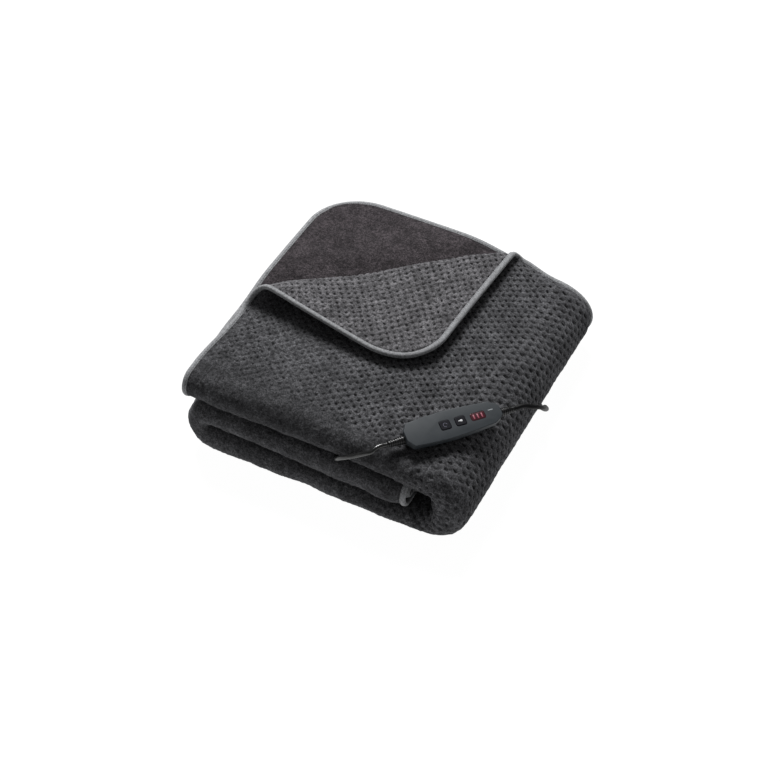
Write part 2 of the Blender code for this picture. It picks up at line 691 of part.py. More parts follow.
def relief_solid(towards):
    """A ribbed strain relief, turned about the controller's length."""
    start = SHELL_END + FIT_GAP
    profile = [(start, 0.0), (start, RELIEF_ROOT)]
    pitch = (RELIEF_LENGTH - 2.0) / RELIEF_RIBS
    for rib in range(RELIEF_RIBS):
        share = rib / (RELIEF_RIBS - 1)
        radius = mix(RELIEF_ROOT, RELIEF_TIP, share)
        at = start + 1.0 + rib * pitch
        profile += [(at + 0.55 * pitch, radius), (at + 0.75 * pitch, radius - RIB_SINK)]
    profile += [(start + RELIEF_LENGTH, RELIEF_TIP), (start + RELIEF_LENGTH, 0.0)]
    solid = bmesh.new()
    line = [solid.verts.new((towards * at, 0.0, radius)) for at, radius in profile]
    edges = [solid.edges.new(pair) for pair in zip(line, line[1:])]
    bmesh.ops.spin(solid, geom=line + edges, axis=(1.0, 0.0, 0.0), cent=(0.0, 0.0, 0.0),
                   angle=math.tau, steps=10, use_merge=True)
    bmesh.ops.remove_doubles(solid, verts=solid.verts, dist=0.01)
    return solid


def build_controller(plastic, dark, glass, rubber):
    """The hand controller: two shells, two push buttons, a window and two reliefs."""
    frame = controller_frame()
    lower = finish_mesh(
        "controller_lower_shell",
        plate_solid(SHELL_OUTLINE, 0.0, PARTING_HEIGHT - FIT_GAP / 2, 0.0, foot=FOOT_SHARE),
        plastic)
    upper = finish_mesh(
        "controller_upper_shell",
        plate_solid(SHELL_OUTLINE, PARTING_HEIGHT + FIT_GAP / 2, SHELL_HEIGHT, SHELL_HEIGHT),
        plastic)
    place(lower, frame)
    place(upper, frame)
    for name, at in (("power_button", POWER_BUTTON_AT), ("heat_button", HEAT_BUTTON_AT)):
        cut_pocket(upper, frame, at, BUTTON_ALONG, BUTTON_ACROSS, POCKET_DEPTH)
        button = finish_mesh(
            name, block_solid(BUTTON_ALONG, BUTTON_ACROSS, BUTTON_HEIGHT, BUTTON_EDGE),
            dark)
        place(button, frame, (at, 0.0, SHELL_HEIGHT + BUTTON_PROUD - BUTTON_HEIGHT))
    cut_pocket(upper, frame, WINDOW_AT, WINDOW_ALONG, WINDOW_ACROSS, WINDOW_THICK + FIT_GAP)
    window = finish_mesh(
        "display_window", block_solid(WINDOW_ALONG, WINDOW_ACROSS, WINDOW_THICK, WINDOW_EDGE),
        glass)
    place(window, frame, (WINDOW_AT, 0.0, SHELL_HEIGHT - WINDOW_THICK))
    middle = (0.0, 0.0, RELIEF_AT)
    for name, towards in (("relief_blanket_lead", -1.0), ("relief_mains_lead", 1.0)):
        place(finish_mesh(name, relief_solid(towards), rubber), frame, middle)


# ---------------------------------------------------------------- the leads
def leave_relief(towards):
    """The first two points of a lead, straight out of its strain relief."""
    frame = controller_frame()
    end = SHELL_END + RELIEF_LENGTH + 2 * FIT_GAP
    spots = (Vector((towards * along, 0.0, RELIEF_AT)) for along in (end, end + LEAD_STEP))
    return [frame @ (spot * MM) / MM for spot in spots]


def smooth_route(route):
    """Points at even steps on one smooth curve through hand-placed points."""
    points = [Vector(point) for point in route]
    points = [2 * points[0] - points[1], *points, 2 * points[-1] - points[-2]]
    dense = []
    for before, start, end, after in zip(points, points[1:], points[2:], points[3:]):
        for share in spread(-0.05, 0.95, 20):
            square, cube = share * share, share ** 3
            dense.append(0.5 * (
                2 * start + (end - before) * share
                + (2 * before - 5 * start + 4 * end - after) * square
                + (3 * start - before - 3 * end + after) * cube))
    dense.append(points[-2])
    steps = [(second - first).length for first, second in zip(dense, dense[1:])]
    count = round(sum(steps) / LEAD_STEP)
    wanted = [sum(steps) * i / count for i in range(count)]
    result, travelled = [], 0.0
    for first, step in zip(dense, steps):
        if wanted and travelled + step > wanted[0]:
            result.append(first)
            wanted.pop(0)
        travelled += step
    return result + [dense[-1]]


def build_lead(name, points, material):
    """A round lead along a row of points."""
    curve = bpy.data.curves.new(name, "CURVE")
    curve.dimensions = "3D"
    curve.bevel_depth = LEAD / 2 * MM
    curve.bevel_resolution = 2
    curve.use_fill_caps = True
    spline = curve.splines.new("POLY")
    spline.points.add(len(points) - 1)
    for spot, point in zip(spline.points, points):
        spot.co = (*(Vector(point) * MM), 1.0)
    curve.materials.append(material)
    bpy.context.scene.collection.objects.link(bpy.data.objects.new(name, curve))


def coil_solid():
    """The gathered turns of the mains lead, as one ring."""
    solid = bmesh.new()
    low, high = LEAD / 2, COIL_THICK - LEAD / 2
    corners = ((low, low, math.pi), (high, low, 1.5 * math.pi), (high, high, 0.0),
               (low, high, 0.5 * math.pi))
    profile = []
    for wide, tall, start in corners:
        for turn in (start, start + math.pi / 4, start + math.pi / 2):
            across = wide + LEAD / 2 * math.cos(turn) - COIL_THICK / 2
            profile.append((COIL_MIDDLE + across, 0.0, tall + LEAD / 2 * math.sin(turn)))
    line = [solid.verts.new(point) for point in profile]
    edges = [solid.edges.new(pair) for pair in zip(line, line[1:] + line[:1])]
    bmesh.ops.spin(solid, geom=line + edges, axis=(0.0, 0.0, 1.0), cent=(0.0, 0.0, 0.0),
                   angle=math.tau, steps=28, use_merge=True)
    bmesh.ops.remove_doubles(solid, verts=solid.verts, dist=0.01)
    bmesh.ops.translate(solid, vec=(*COIL_AT, FIT_GAP), verts=solid.verts)
    return solid


def pin_solid():
    """One round contact pin, lying along +X from its root."""
    solid = bmesh.new()
    bmesh.ops.create_cone(solid, cap_ends=True, segments=12, radius1=PIN_DIAMETER / 2,
                          radius2=PIN_DIAMETER / 2, depth=PIN_LENGTH)
    bmesh.ops.rotate(solid, matrix=Matrix.Rotation(math.pi / 2, 3, "Y"), verts=solid.verts)
    bmesh.ops.translate(solid, vec=(PIN_LENGTH / 2, 0.0, 0.0), verts=solid.verts)
    return solid


def build_leads(rubber, metal):
    """The lead to the blanket, the mains lead with its coil, and the plug."""
    build_lead("blanket_lead", smooth_route((*leave_relief(-1.0), *BLANKET_LEAD_ROUTE)), rubber)
    build_lead("mains_lead", smooth_route((*leave_relief(1.0), *MAINS_LEAD_ROUTE)), rubber)
    finish_mesh("mains_lead_coil", coil_solid(), rubber)
    outer_turn = COIL_MIDDLE + COIL_THICK / 2 - LEAD / 2
    frame = (Matrix.Translation(Vector((*COIL_AT, PLUG_MIDDLE_Z)) * MM)
             @ Matrix.Rotation(TAIL_TURN, 4, "Z")
             @ Matrix.Translation(Vector((0.0, outer_turn, 0.0)) * MM))
    tail_end = TAIL_START + TAIL_LENGTH
    tail = [frame @ Vector((along * MM, 0.0, 0.0)) / MM for along in (TAIL_START, tail_end)]
    build_lead("mains_lead_tail", tail, rubber)
    half = PLUG_THICK / 2
    body = finish_mesh(
        "mains_plug", plate_solid(PLUG_OUTLINE, -half, half, -half, half), rubber)
    place(body, frame, (tail_end + FIT_GAP, 0.0, 0.0))
    root = tail_end + 2 * FIT_GAP + PLUG_OUTLINE[-1].along
    for name, side in (("plug_pin_left", 1.0), ("plug_pin_right", -1.0)):
        pin = finish_mesh(name, pin_solid(), metal)
        place(pin, frame, (root, side * PIN_SPREAD / 2, 0.0))


# ---------------------------------------------------------------- build
def main():
    """Build every piece."""
    clear_scene()
    fleece = make_material("charcoal fleece", CHARCOAL, 0.95)
    tape = make_material("grey woven tape", GREY_TAPE, 0.8)
    plastic = make_material("slate moulded plastic", SLATE, 0.45)
    dark = make_material("dark button plastic", BUTTON_BLACK, 0.35)
    glass = make_material("red display window", WINDOW_RED, 0.2)
    rubber = make_material("black soft vinyl", RUBBER_BLACK, 0.3)
    build_cloth(fleece)
    build_binding(tape)
    build_controller(plastic, dark, glass, rubber)
    build_leads(rubber, make_material("nickel-plated brass", METAL, 0.3, 1.0))


main()
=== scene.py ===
"""Looks of a folded electric heated blanket, its hand controller and its leads.

Lengths are millimetres in the classes below and become metres when a mesh is finished,
so that they can be compared with the real blanket.
"""

from __future__ import annotations

import logging
import math
from dataclasses import dataclass, field
from enum import Enum

import bmesh
import bpy
from mathutils import Matrix, Vector, noise

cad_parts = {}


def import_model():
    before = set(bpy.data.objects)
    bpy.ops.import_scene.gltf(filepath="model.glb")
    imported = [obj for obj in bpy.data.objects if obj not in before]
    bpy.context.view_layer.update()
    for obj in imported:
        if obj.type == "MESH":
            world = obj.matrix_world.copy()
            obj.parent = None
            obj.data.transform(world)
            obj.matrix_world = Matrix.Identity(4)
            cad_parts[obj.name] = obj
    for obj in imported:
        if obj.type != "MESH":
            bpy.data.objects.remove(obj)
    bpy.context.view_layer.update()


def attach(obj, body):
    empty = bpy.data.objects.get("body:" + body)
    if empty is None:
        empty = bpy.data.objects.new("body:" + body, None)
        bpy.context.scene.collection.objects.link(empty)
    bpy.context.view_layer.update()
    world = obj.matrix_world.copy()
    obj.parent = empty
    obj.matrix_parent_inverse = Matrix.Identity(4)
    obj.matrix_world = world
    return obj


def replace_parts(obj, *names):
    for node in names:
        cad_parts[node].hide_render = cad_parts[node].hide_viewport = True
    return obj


LOG = logging.getLogger("heated_blanket")
MM = 0.001
Point = tuple[float, float, float]


class Face(Enum):
    """The two faces of the cloth: the one it was folded outwards with, and its back."""

    OUTER = 1.0
    INNER = -1.0


# ------------------------------------------------------------------ small helpers
def linear(colour: str) -> tuple[float, float, float, float]:
    """Turn an sRGB hex value into Blender's linear colour.

    Args:
        colour: Six hex digits, such as "8a8b8d".

    Returns:
        Red, green, blue and alpha.
    """
    parts = [int(colour[i:i + 2], 16) / 255 for i in (0, 2, 4)]
    flat = [c / 12.92 if c <= 0.04045 else ((c + 0.055) / 1.055) ** 2.4 for c in parts]
    return (*flat, 1.0)


def add_node(tree: bpy.types.NodeTree, kind: str, inputs: dict | None = None,
             **settings: object) -> bpy.types.Node:
    """Add a shader node with its settings, values and links.

    Args:
        tree: The material's node tree.
        kind: The node's type, such as "ShaderNodeMath".
        inputs: Socket names or numbers, each with a value or the socket that feeds it.
        **settings: The node's own properties.

    Returns:
        The new node.
    """
    node = tree.nodes.new(kind)
    for name, value in settings.items():
        setattr(node, name, value)
    for name, value in (inputs or {}).items():
        if isinstance(value, bpy.types.NodeSocket):
            tree.links.new(value, node.inputs[name])
        else:
            node.inputs[name].default_value = value
    return node


def new_material(name: str, colour: str, roughness: float) -> bpy.types.Material:
    """A Principled material with its main values set.

    Args:
        name: What the real material is.
        colour: Its sRGB hex colour.
        roughness: Principled roughness.

    Returns:
        The material.
    """
    material = bpy.data.materials.new(name)
    material.use_nodes = True
    shader = material.node_tree.nodes["Principled BSDF"]
    shader.inputs["Base Color"].default_value = linear(colour)
    shader.inputs["Roughness"].default_value = roughness
    return material


def smooth(value: float) -> float:
    """Ease from 0 to 1 as value goes from 0 to 1."""
    value = min(1.0, max(0.0, value))
    return value * value * (3.0 - 2.0 * value)


def mix(start: float, end: float, share: float) -> float:
    """The value that lies share of the way from start to end."""
    return start + (end - start) * share


def spread(start: float, end: float, count: int) -> list[float]:
    """Evenly spaced values after start, the last one being end."""
    return [mix(start, end, (i + 1) / count) for i in range(count)]


def finish_mesh(name: str, solid: bmesh.types.BMesh, material: bpy.types.Material,
                body: str = "pile", angle: float = 40.0,
                turn_out: bool = True) -> bpy.types.Object:
    """Turn a bmesh in millimetres into a finished piece.

    Args:
        name: The piece's name.
        solid: Its shape, freed here.
        material: Its material.
        body: The body it rides on.
        angle: Edges sharper than this stay sharp, in degrees.
        turn_out: Recalculate the normals, for a closed shape.

    Returns:
        The piece.
    """
    bmesh.ops.scale(solid, vec=(MM, MM, MM), verts=solid.verts)
    if turn_out:
        bmesh.ops.recalc_face_normals(solid, faces=solid.faces)
    mesh = bpy.data.meshes.new(name)
    solid.to_mesh(mesh)
    solid.free()
    mesh.materials.append(material)
    mesh.shade_smooth()
    mesh.set_sharp_from_angle(angle=math.radians(angle))
    piece = bpy.data.objects.new(name, mesh)
    bpy.context.scene.collection.objects.link(piece)
    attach(piece, body)
    return piece


def raise_outline(rows: tuple[tuple[float, float], ...], low: float,
                  high: float) -> tuple[bmesh.types.BMesh, bmesh.types.BMFace]:
    """Raise a symmetric outline into an upright block.

    Args:
        rows: Places along it, each with the half width there.
        low: Height of its underside.
        high: Height of its top.

    Returns:
        The block and its underside.
    """
    solid = bmesh.new()
    points = [*rows, *((along, -half) for along, half in reversed(rows))]
    under = solid.faces.new([solid.verts.new((*point, low)) for point in points])
    grown = bmesh.ops.extrude_face_region(solid, geom=[under], use_keep_orig=True)
    upper = [v for v in grown["geom"] if isinstance(v, bmesh.types.BMVert)]
    bmesh.ops.translate(solid, vec=(0.0, 0.0, high - low), verts=upper)
    return solid, under


def round_edges(solid: bmesh.types.BMesh, edges: list[bmesh.types.BMEdge], radius: float,
                steps: int) -> None:
    """Round edges of a shape.

    Args:
        solid: The shape.
        edges: Its edges to round.
        radius: Radius of the rounding.
        steps: Segments of the rounding.
    """
    bmesh.ops.bevel(solid, geom=edges, offset=radius, offset_type="OFFSET", segments=steps,
                    profile=0.5, affect="EDGES", material=-1, clamp_overlap=True)


# ------------------------------------------------------------------ finishes
@dataclass(frozen=True)
class WaffleFleece:
    """Polyester fleece, knitted with a lattice of small pits on its waffle side.

    Pile yarn scatters light, so it is fully rough with a soft sheen at its edges. Charcoal
    heather: the pillows catch light, painted shade turns the pits nearly black, and tufts of
    pile speckle it. Painted shade also darkens the folded front, and the turned-over side is
    lighter, partly its own tone and partly painted light.
    """

    pillow: str = "424244"
    # Painted shade: the pits are coloured nearly black for the shade that falls in them.
    pit: str = "040404"
    back_tone_and_painted_light: str = "4f4e50"         # the turned-over side: partly its own lighter tone, partly painted light
    bare: str = "302c2e"                # the uncovered layer, smooth and slightly warm
    painted_front_shade_level: float = 0.6            # how dark the painted shade makes the folded front
    pit_column: float = 6.8             # between columns of pits
    pit_row: float = 11.2               # between pits in a column
    pit_depth: float = 2.0
    pillow_rise: float = 1.8            # the wider swell round each pit
    wander: float = 3.5                 # how far the lattice strays from straight
    warp: float = 9.0                   # width of those waves
    tuft: float = 3.6                   # width of a tuft of pile
    tuft_height: float = 2.2
    fibre: float = 1.7                  # real fibres are finer, drawn so that they show
    fibre_height: float = 1.2
    mottle: float = 15.0                # patches where the pile lies another way
    drape: float = 60.0                 # broad lighter and darker patches

    def add_grains(self, tree: bpy.types.NodeTree) -> dict[str, bpy.types.Node]:
        """Add a noise for each size of grain in the pile.

        Args:
            tree: The material's node tree.

        Returns:
            The noises by name.
        """
        where = add_node(tree, "ShaderNodeTexCoord").outputs["Object"]
        return {name: add_node(tree, "ShaderNodeTexNoise",
                               {"Vector": where, "Scale": 1 / (getattr(self, name) * MM),
                                "Detail": 3.0, "Roughness": 0.7})
                for name in ("fibre", "tuft", "warp", "mottle", "drape")}

    def add_lattice(self, tree: bpy.types.NodeTree,
                    warp: bpy.types.Node) -> dict[str, bpy.types.NodeSocket]:
        """Add the lattice of pits, which fades where the cloth is rubbed smooth.

        Args:
            tree: The material's node tree.
            warp: The noise that bends the lattice and makes it uneven.

        Returns:
            "hole", which is 1 in a pit, and "pillow", the wider swell round it.
        """
        sheet = add_node(tree, "ShaderNodeUVMap", uv_map="sheet")
        shift = add_node(tree, "ShaderNodeVectorMath",
                         {0: warp.outputs["Color"], 1: (0.5, 0.5, 0.5)},
                         operation="SUBTRACT")
        place = add_node(tree, "ShaderNodeVectorMath",
                         {0: shift.outputs["Vector"],
                          1: (self.wander * MM, self.wander * MM, 0.0),
                          2: sheet.outputs["UV"]}, operation="MULTIPLY_ADD")
        parts = add_node(tree, "ShaderNodeSeparateXYZ", {"Vector": place.outputs["Vector"]})
        waves = []
        for axis, period in (("X", 2 * self.pit_column), ("Y", self.pit_row)):
            turn = add_node(tree, "ShaderNodeMath",
                            {0: parts.outputs[axis], 1: math.tau / (period * MM)},
                            operation="MULTIPLY")
            waves.append(add_node(tree, "ShaderNodeMath", {0: turn.outputs[0]},
                                  operation="COSINE").outputs[0])
        lattice = add_node(tree, "ShaderNodeMath", {0: waves[0], 1: waves[1]},
                           operation="MULTIPLY").outputs[0]
        smoothed = add_node(tree, "ShaderNodeAttribute", attribute_name="smoothed")
        waffled = add_node(tree, "ShaderNodeMath", {0: 1.0, 1: smoothed.outputs["Fac"]},
                           operation="SUBTRACT")
        uneven = add_node(tree, "ShaderNodeMapRange",
                          {"Value": warp.outputs["Fac"], "From Min": 0.35,
                           "From Max": 0.65, "To Min": 0.4, "To Max": 1.05})
        share = add_node(tree, "ShaderNodeMath",
                         {0: waffled.outputs[0], 1: uneven.outputs["Result"]},
                         operation="MULTIPLY").outputs[0]
        shapes = {}
        for name, low, high in (("hole", 0.42, 0.9), ("pillow", -0.5, 1.0)):
            shape = add_node(tree, "ShaderNodeMapRange",
                             {"Value": lattice, "From Min": low, "From Max": high},
                             interpolation_type="SMOOTHSTEP")
            shapes[name] = add_node(tree, "ShaderNodeMath",
                                    {0: shape.outputs["Result"], 1: share},
                                    operation="MULTIPLY").outputs[0]
        return shapes

    def add_colour(self, tree: bpy.types.NodeTree, grains: dict[str, bpy.types.Node],
                   hole: bpy.types.NodeSocket) -> bpy.types.NodeSocket:
        """Add the colours of the cloth's sides, partly painted light on the turned-over one,
        the painted shade in its pits and on its folded front, and its speckled pile.

        Args:
            tree: The material's node tree.
            grains: The noises of the pile.
            hole: The socket that is 1 in a pit.

        Returns:
            The socket with the colour.
        """
        ground = linear(self.pillow)
        # The turned-over side's colour is partly its own lighter tone and partly painted
        # light.
        for name, colour in (("back", self.back_tone_and_painted_light), ("bare", self.bare)):
            there = add_node(tree, "ShaderNodeAttribute", attribute_name=name)
            ground = add_node(tree, "ShaderNodeMix",
                              {"Factor": there.outputs["Fac"], "A": ground,
                               "B": linear(colour)}, data_type="RGBA").outputs["Result"]
        # Painted shade in the pits: mix the ground towards the near-black pit colour.
        pitted = add_node(tree, "ShaderNodeMix",
                          {"Factor": hole, "A": ground, "B": linear(self.pit)},
                          data_type="RGBA")
        # Painted shade on the folded front: darker where this attribute is 1.
        painted_front_shade = add_node(tree, "ShaderNodeAttribute", attribute_name="painted_front_shade")
        shade = add_node(tree, "ShaderNodeMapRange",
                         {"Value": painted_front_shade.outputs["Fac"], "To Min": 1.0,
                          "To Max": self.painted_front_shade_level}).outputs["Result"]
        for name, dark, light in (("fibre", 0.45, 1.6), ("tuft", 0.6, 1.42),
                                  ("mottle", 0.8, 1.2), ("drape", 0.84, 1.12)):
            tone = add_node(tree, "ShaderNodeMapRange",
                            {"Value": grains[name].outputs["Fac"], "From Min": 0.38,
                             "From Max": 0.62, "To Min": dark, "To Max": light})
            shade = add_node(tree, "ShaderNodeMath", {0: tone.outputs["Result"], 1: shade},
                             operation="MULTIPLY").outputs[0]
        return add_node(tree, "ShaderNodeVectorMath",
                        {0: pitted.outputs["Result"], "Scale": shade},
                        operation="SCALE").outputs["Vector"]

    def material(self) -> bpy.types.Material:
        """Build the shader on the sheet's own coordinates.

        Returns:
            The fleece.
        """
        material = new_material("polyester waffle fleece", self.pillow, 0.96)
        tree = material.node_tree
        shader = tree.nodes["Principled BSDF"]
        shader.inputs["Specular IOR Level"].default_value = 0.1
        shader.inputs["Sheen Weight"].default_value = 0.16
        shader.inputs["Sheen Roughness"].default_value = 0.5
        shader.inputs["Sheen Tint"].default_value = linear("b4b5ba")
        grains = self.add_grains(tree)
        shapes = self.add_lattice(tree, grains["warp"])
        tree.links.new(self.add_colour(tree, grains, shapes["hole"]),
                       shader.inputs["Base Color"])
        before = {}
        for height, depth in ((shapes["pillow"], -self.pillow_rise),
                              (shapes["hole"], -self.pit_depth),
                              (grains["tuft"].outputs["Fac"], self.tuft_height),
                              (grains["fibre"].outputs["Fac"], self.fibre_height)):
            bump = add_node(tree, "ShaderNodeBump",
                            {"Height": height, "Strength": 0.6, "Distance": depth * MM,
                             **before})
            before = {"Normal": bump.outputs["Normal"]}
        tree.links.new(before["Normal"], shader.inputs["Normal"])
        return material


@dataclass(frozen=True)
class WovenTape:
    """Woven polyester binding tape: fine cross ribs and one row of lockstitch.

    It is smoother than the fleece, so it looks lighter and has a faint silky sheen.
    """

    colour: str = "77787a"
    thread: str = "58595b"
    rib: float = 1.3            # real ribs are 0.5 mm apart, drawn coarser so that they show
    stitch: float = 3.6
    stitch_at: float = 4.4      # from the cloth's edge
    groove: tuple[float, float] = (0.35, 0.7)   # half width of the stitched line, in and out
    speck: float = 1000 / 420   # width of its lighter and darker specks

    def material(self) -> bpy.types.Material:
        """Build the shader on the tape's own coordinates: along it, and in from the edge.

        Returns:
            The tape.
        """
        material = new_material("woven polyester tape", self.colour, 0.78)
        tree = material.node_tree
        shader = tree.nodes["Principled BSDF"]
        shader.inputs["Specular IOR Level"].default_value = 0.3
        shader.inputs["Sheen Weight"].default_value = 0.25
        shader.inputs["Sheen Roughness"].default_value = 0.45
        place = add_node(tree, "ShaderNodeUVMap", uv_map="sheet")
        parts = add_node(tree, "ShaderNodeSeparateXYZ", {"Vector": place.outputs["UV"]})
        rib = add_node(tree, "ShaderNodeMath",
                       {0: parts.outputs["X"], 1: math.tau / (self.rib * MM)},
                       operation="MULTIPLY")
        rib_wave = add_node(tree, "ShaderNodeMath", {0: rib.outputs[0]}, operation="SINE")
        along = add_node(tree, "ShaderNodeMath",
                         {0: parts.outputs["X"], 1: math.tau / (self.stitch * MM)},
                         operation="MULTIPLY")
        along_wave = add_node(tree, "ShaderNodeMath", {0: along.outputs[0]},
                              operation="SINE")
        off_line = add_node(tree, "ShaderNodeMath",
                            {0: parts.outputs["Y"], 1: self.stitch_at * MM},
                            operation="SUBTRACT")
        off = add_node(tree, "ShaderNodeMath", {0: off_line.outputs[0]},
                       operation="ABSOLUTE")
        on_line = add_node(tree, "ShaderNodeMapRange",
                           {"Value": off.outputs[0], "From Min": self.groove[0] * MM,
                            "From Max": self.groove[1] * MM, "To Min": 1.0,
                            "To Max": 0.0})
        on_stitch = add_node(tree, "ShaderNodeMapRange",
                             {"Value": along_wave.outputs[0], "From Min": -0.6,
                              "From Max": -0.2})
        stitch = add_node(tree, "ShaderNodeMath",
                          {0: on_line.outputs["Result"], 1: on_stitch.outputs["Result"]},
                          operation="MULTIPLY")
        where = add_node(tree, "ShaderNodeTexCoord")
        soil = add_node(tree, "ShaderNodeTexNoise",
                        {"Vector": where.outputs["Object"],
                         "Scale": 1 / (self.speck * MM), "Detail": 3.0,
                         "Roughness": 0.7})
        tone = add_node(tree, "ShaderNodeMapRange",
                        {"Value": soil.outputs["Fac"], "From Min": 0.3, "From Max": 0.7,
                         "To Min": 0.5, "To Max": 1.5})
        thread = add_node(tree, "ShaderNodeMix",
                          {"Factor": stitch.outputs[0], "A": linear(self.colour),
                           "B": linear(self.thread)}, data_type="RGBA")
        colour = add_node(tree, "ShaderNodeVectorMath",
                          {0: thread.outputs["Result"], "Scale": tone.outputs["Result"]},
                          operation="SCALE")
        tree.links.new(colour.outputs["Vector"], shader.inputs["Base Color"])
        ribs = add_node(tree, "ShaderNodeBump",
                        {"Height": rib_wave.outputs[0], "Strength": 0.25,
                         "Distance": 0.2 * MM})
        groove = add_node(tree, "ShaderNodeBump",
                          {"Height": on_line.outputs["Result"], "Strength": 0.6,
                           "Distance": -0.5 * MM, "Normal": ribs.outputs["Normal"]})
        tree.links.new(groove.outputs["Normal"], shader.inputs["Normal"])
        return material


@dataclass(frozen=True)
class MouldedPlastic:
    """Injection-moulded plastic with a fine spark-eroded grain, so its gloss is soft."""

    name: str
    colour: str
    roughness: float
    grain: float = 0.5          # millimetres between grains
    depth: float = 0.03
    shine: float = 0.5          # strength of its reflections
    rub: float = 1000 / 90      # width of the patches that handling has polished

    def material(self) -> bpy.types.Material:
        """Build the shader: a grain bump and slightly uneven gloss.

        Returns:
            The plastic.
        """
        material = new_material(self.name, self.colour, self.roughness)
        tree = material.node_tree
        shader = tree.nodes["Principled BSDF"]
        shader.inputs["IOR"].default_value = 1.5
        shader.inputs["Specular IOR Level"].default_value = self.shine
        where = add_node(tree, "ShaderNodeTexCoord")
        grain = add_node(tree, "ShaderNodeTexNoise",
                         {"Vector": where.outputs["Object"], "Scale": 1 / (self.grain * MM),
                          "Detail": 2.0})
        rub = add_node(tree, "ShaderNodeTexNoise",
                       {"Vector": where.outputs["Object"], "Scale": 1 / (self.rub * MM),
                        "Detail": 3.0})
        gloss = add_node(tree, "ShaderNodeMapRange",
                         {"Value": rub.outputs["Fac"], "From Min": 0.3, "From Max": 0.7,
                          "To Min": self.roughness - 0.06, "To Max": self.roughness + 0.08})
        tree.links.new(gloss.outputs["Result"], shader.inputs["Roughness"])
        tone = add_node(tree, "ShaderNodeMapRange",
                        {"Value": grain.outputs["Fac"], "From Min": 0.3, "From Max": 0.7,
                         "To Min": 0.93, "To Max": 1.07})
        colour = add_node(tree, "ShaderNodeVectorMath",
                          {0: linear(self.colour)[:3], "Scale": tone.outputs["Result"]},
                          operation="SCALE")
        tree.links.new(colour.outputs["Vector"], shader.inputs["Base Color"])
        bump = add_node(tree, "ShaderNodeBump",
                        {"Height": grain.outputs["Fac"], "Strength": 0.6,
                         "Distance": self.depth * MM})
        tree.links.new(bump.outputs["Normal"], shader.inputs["Normal"])
        return material


@dataclass(frozen=True)
class LitBar:
    """A light-emitting bar behind the red window: a soft pink-red glow."""

    colour: str = "86414f"
    glow: float = 0.1

    def material(self) -> bpy.types.Material:
        """Build the glowing shader.

        Returns:
            The lit bar.
        """
        material = new_material("lit red diode bar", self.colour, 0.4)
        shader = material.node_tree.nodes["Principled BSDF"]
        shader.inputs["Emission Color"].default_value = linear(self.colour)
        shader.inputs["Emission Strength"].default_value = self.glow
        return material


@dataclass(frozen=True)
class NickelledBrass:
    """Nickel-plated brass pins: a warm grey metal with light polishing marks."""

    colour: str = "cdc9c0"
    polish: float = 1000 / 900  # width of its polishing marks

    def material(self) -> bpy.types.Material:
        """Build the metal shader.

        Returns:
            The metal.
        """
        material = new_material("nickel-plated brass", self.colour, 0.28)
        tree = material.node_tree
        shader = tree.nodes["Principled BSDF"]
        shader.inputs["Metallic"].default_value = 1.0
        where = add_node(tree, "ShaderNodeTexCoord")
        marks = add_node(tree, "ShaderNodeTexNoise",
                         {"Vector": where.outputs["Object"],
                          "Scale": 1 / (self.polish * MM), "Detail": 2.0})
        bump = add_node(tree, "ShaderNodeBump",
                        {"Height": marks.outputs["Fac"], "Strength": 0.2,
                         "Distance": 0.02 * MM})
        tree.links.new(bump.outputs["Normal"], shader.inputs["Normal"])
        return material


# ------------------------------------------------------------------ the folds
@dataclass(frozen=True)
class Bundle:
    """One place along a bundle of four layers: its middle's height and its layer step."""

    x: float
    middle: float
    step: float


def read_bundles(rows: tuple[Bundle, ...], x: float, name: str) -> float:
    """Read a value at x on a smooth curve through the rows.

    Args:
        rows: The bundle's rows, from left to right.
        x: Where to read.
        name: "middle" or "step".

    Returns:
        The value there.
    """
    last = len(rows) - 2
    index = 0
    while index < last and x > rows[index + 1].x:
        index += 1
    before, left = rows[max(index - 1, 0)], rows[index]
    right, after = rows[index + 1], rows[min(index + 2, len(rows) - 1)]
    values = [getattr(row, name) for row in (before, left, right, after)]
    span = right.x - left.x
    share = (x - left.x) / span
    slope_in = (values[2] - values[0]) / (right.x - before.x) * span
    slope_out = (values[3] - values[1]) / (after.x - left.x) * span
    square, cube = share * share, share ** 3
    return ((2 * cube - 3 * square + 1) * values[1] + (cube - 2 * square + share) * slope_in
            + (3 * square - 2 * cube) * values[2] + (cube - square) * slope_out)


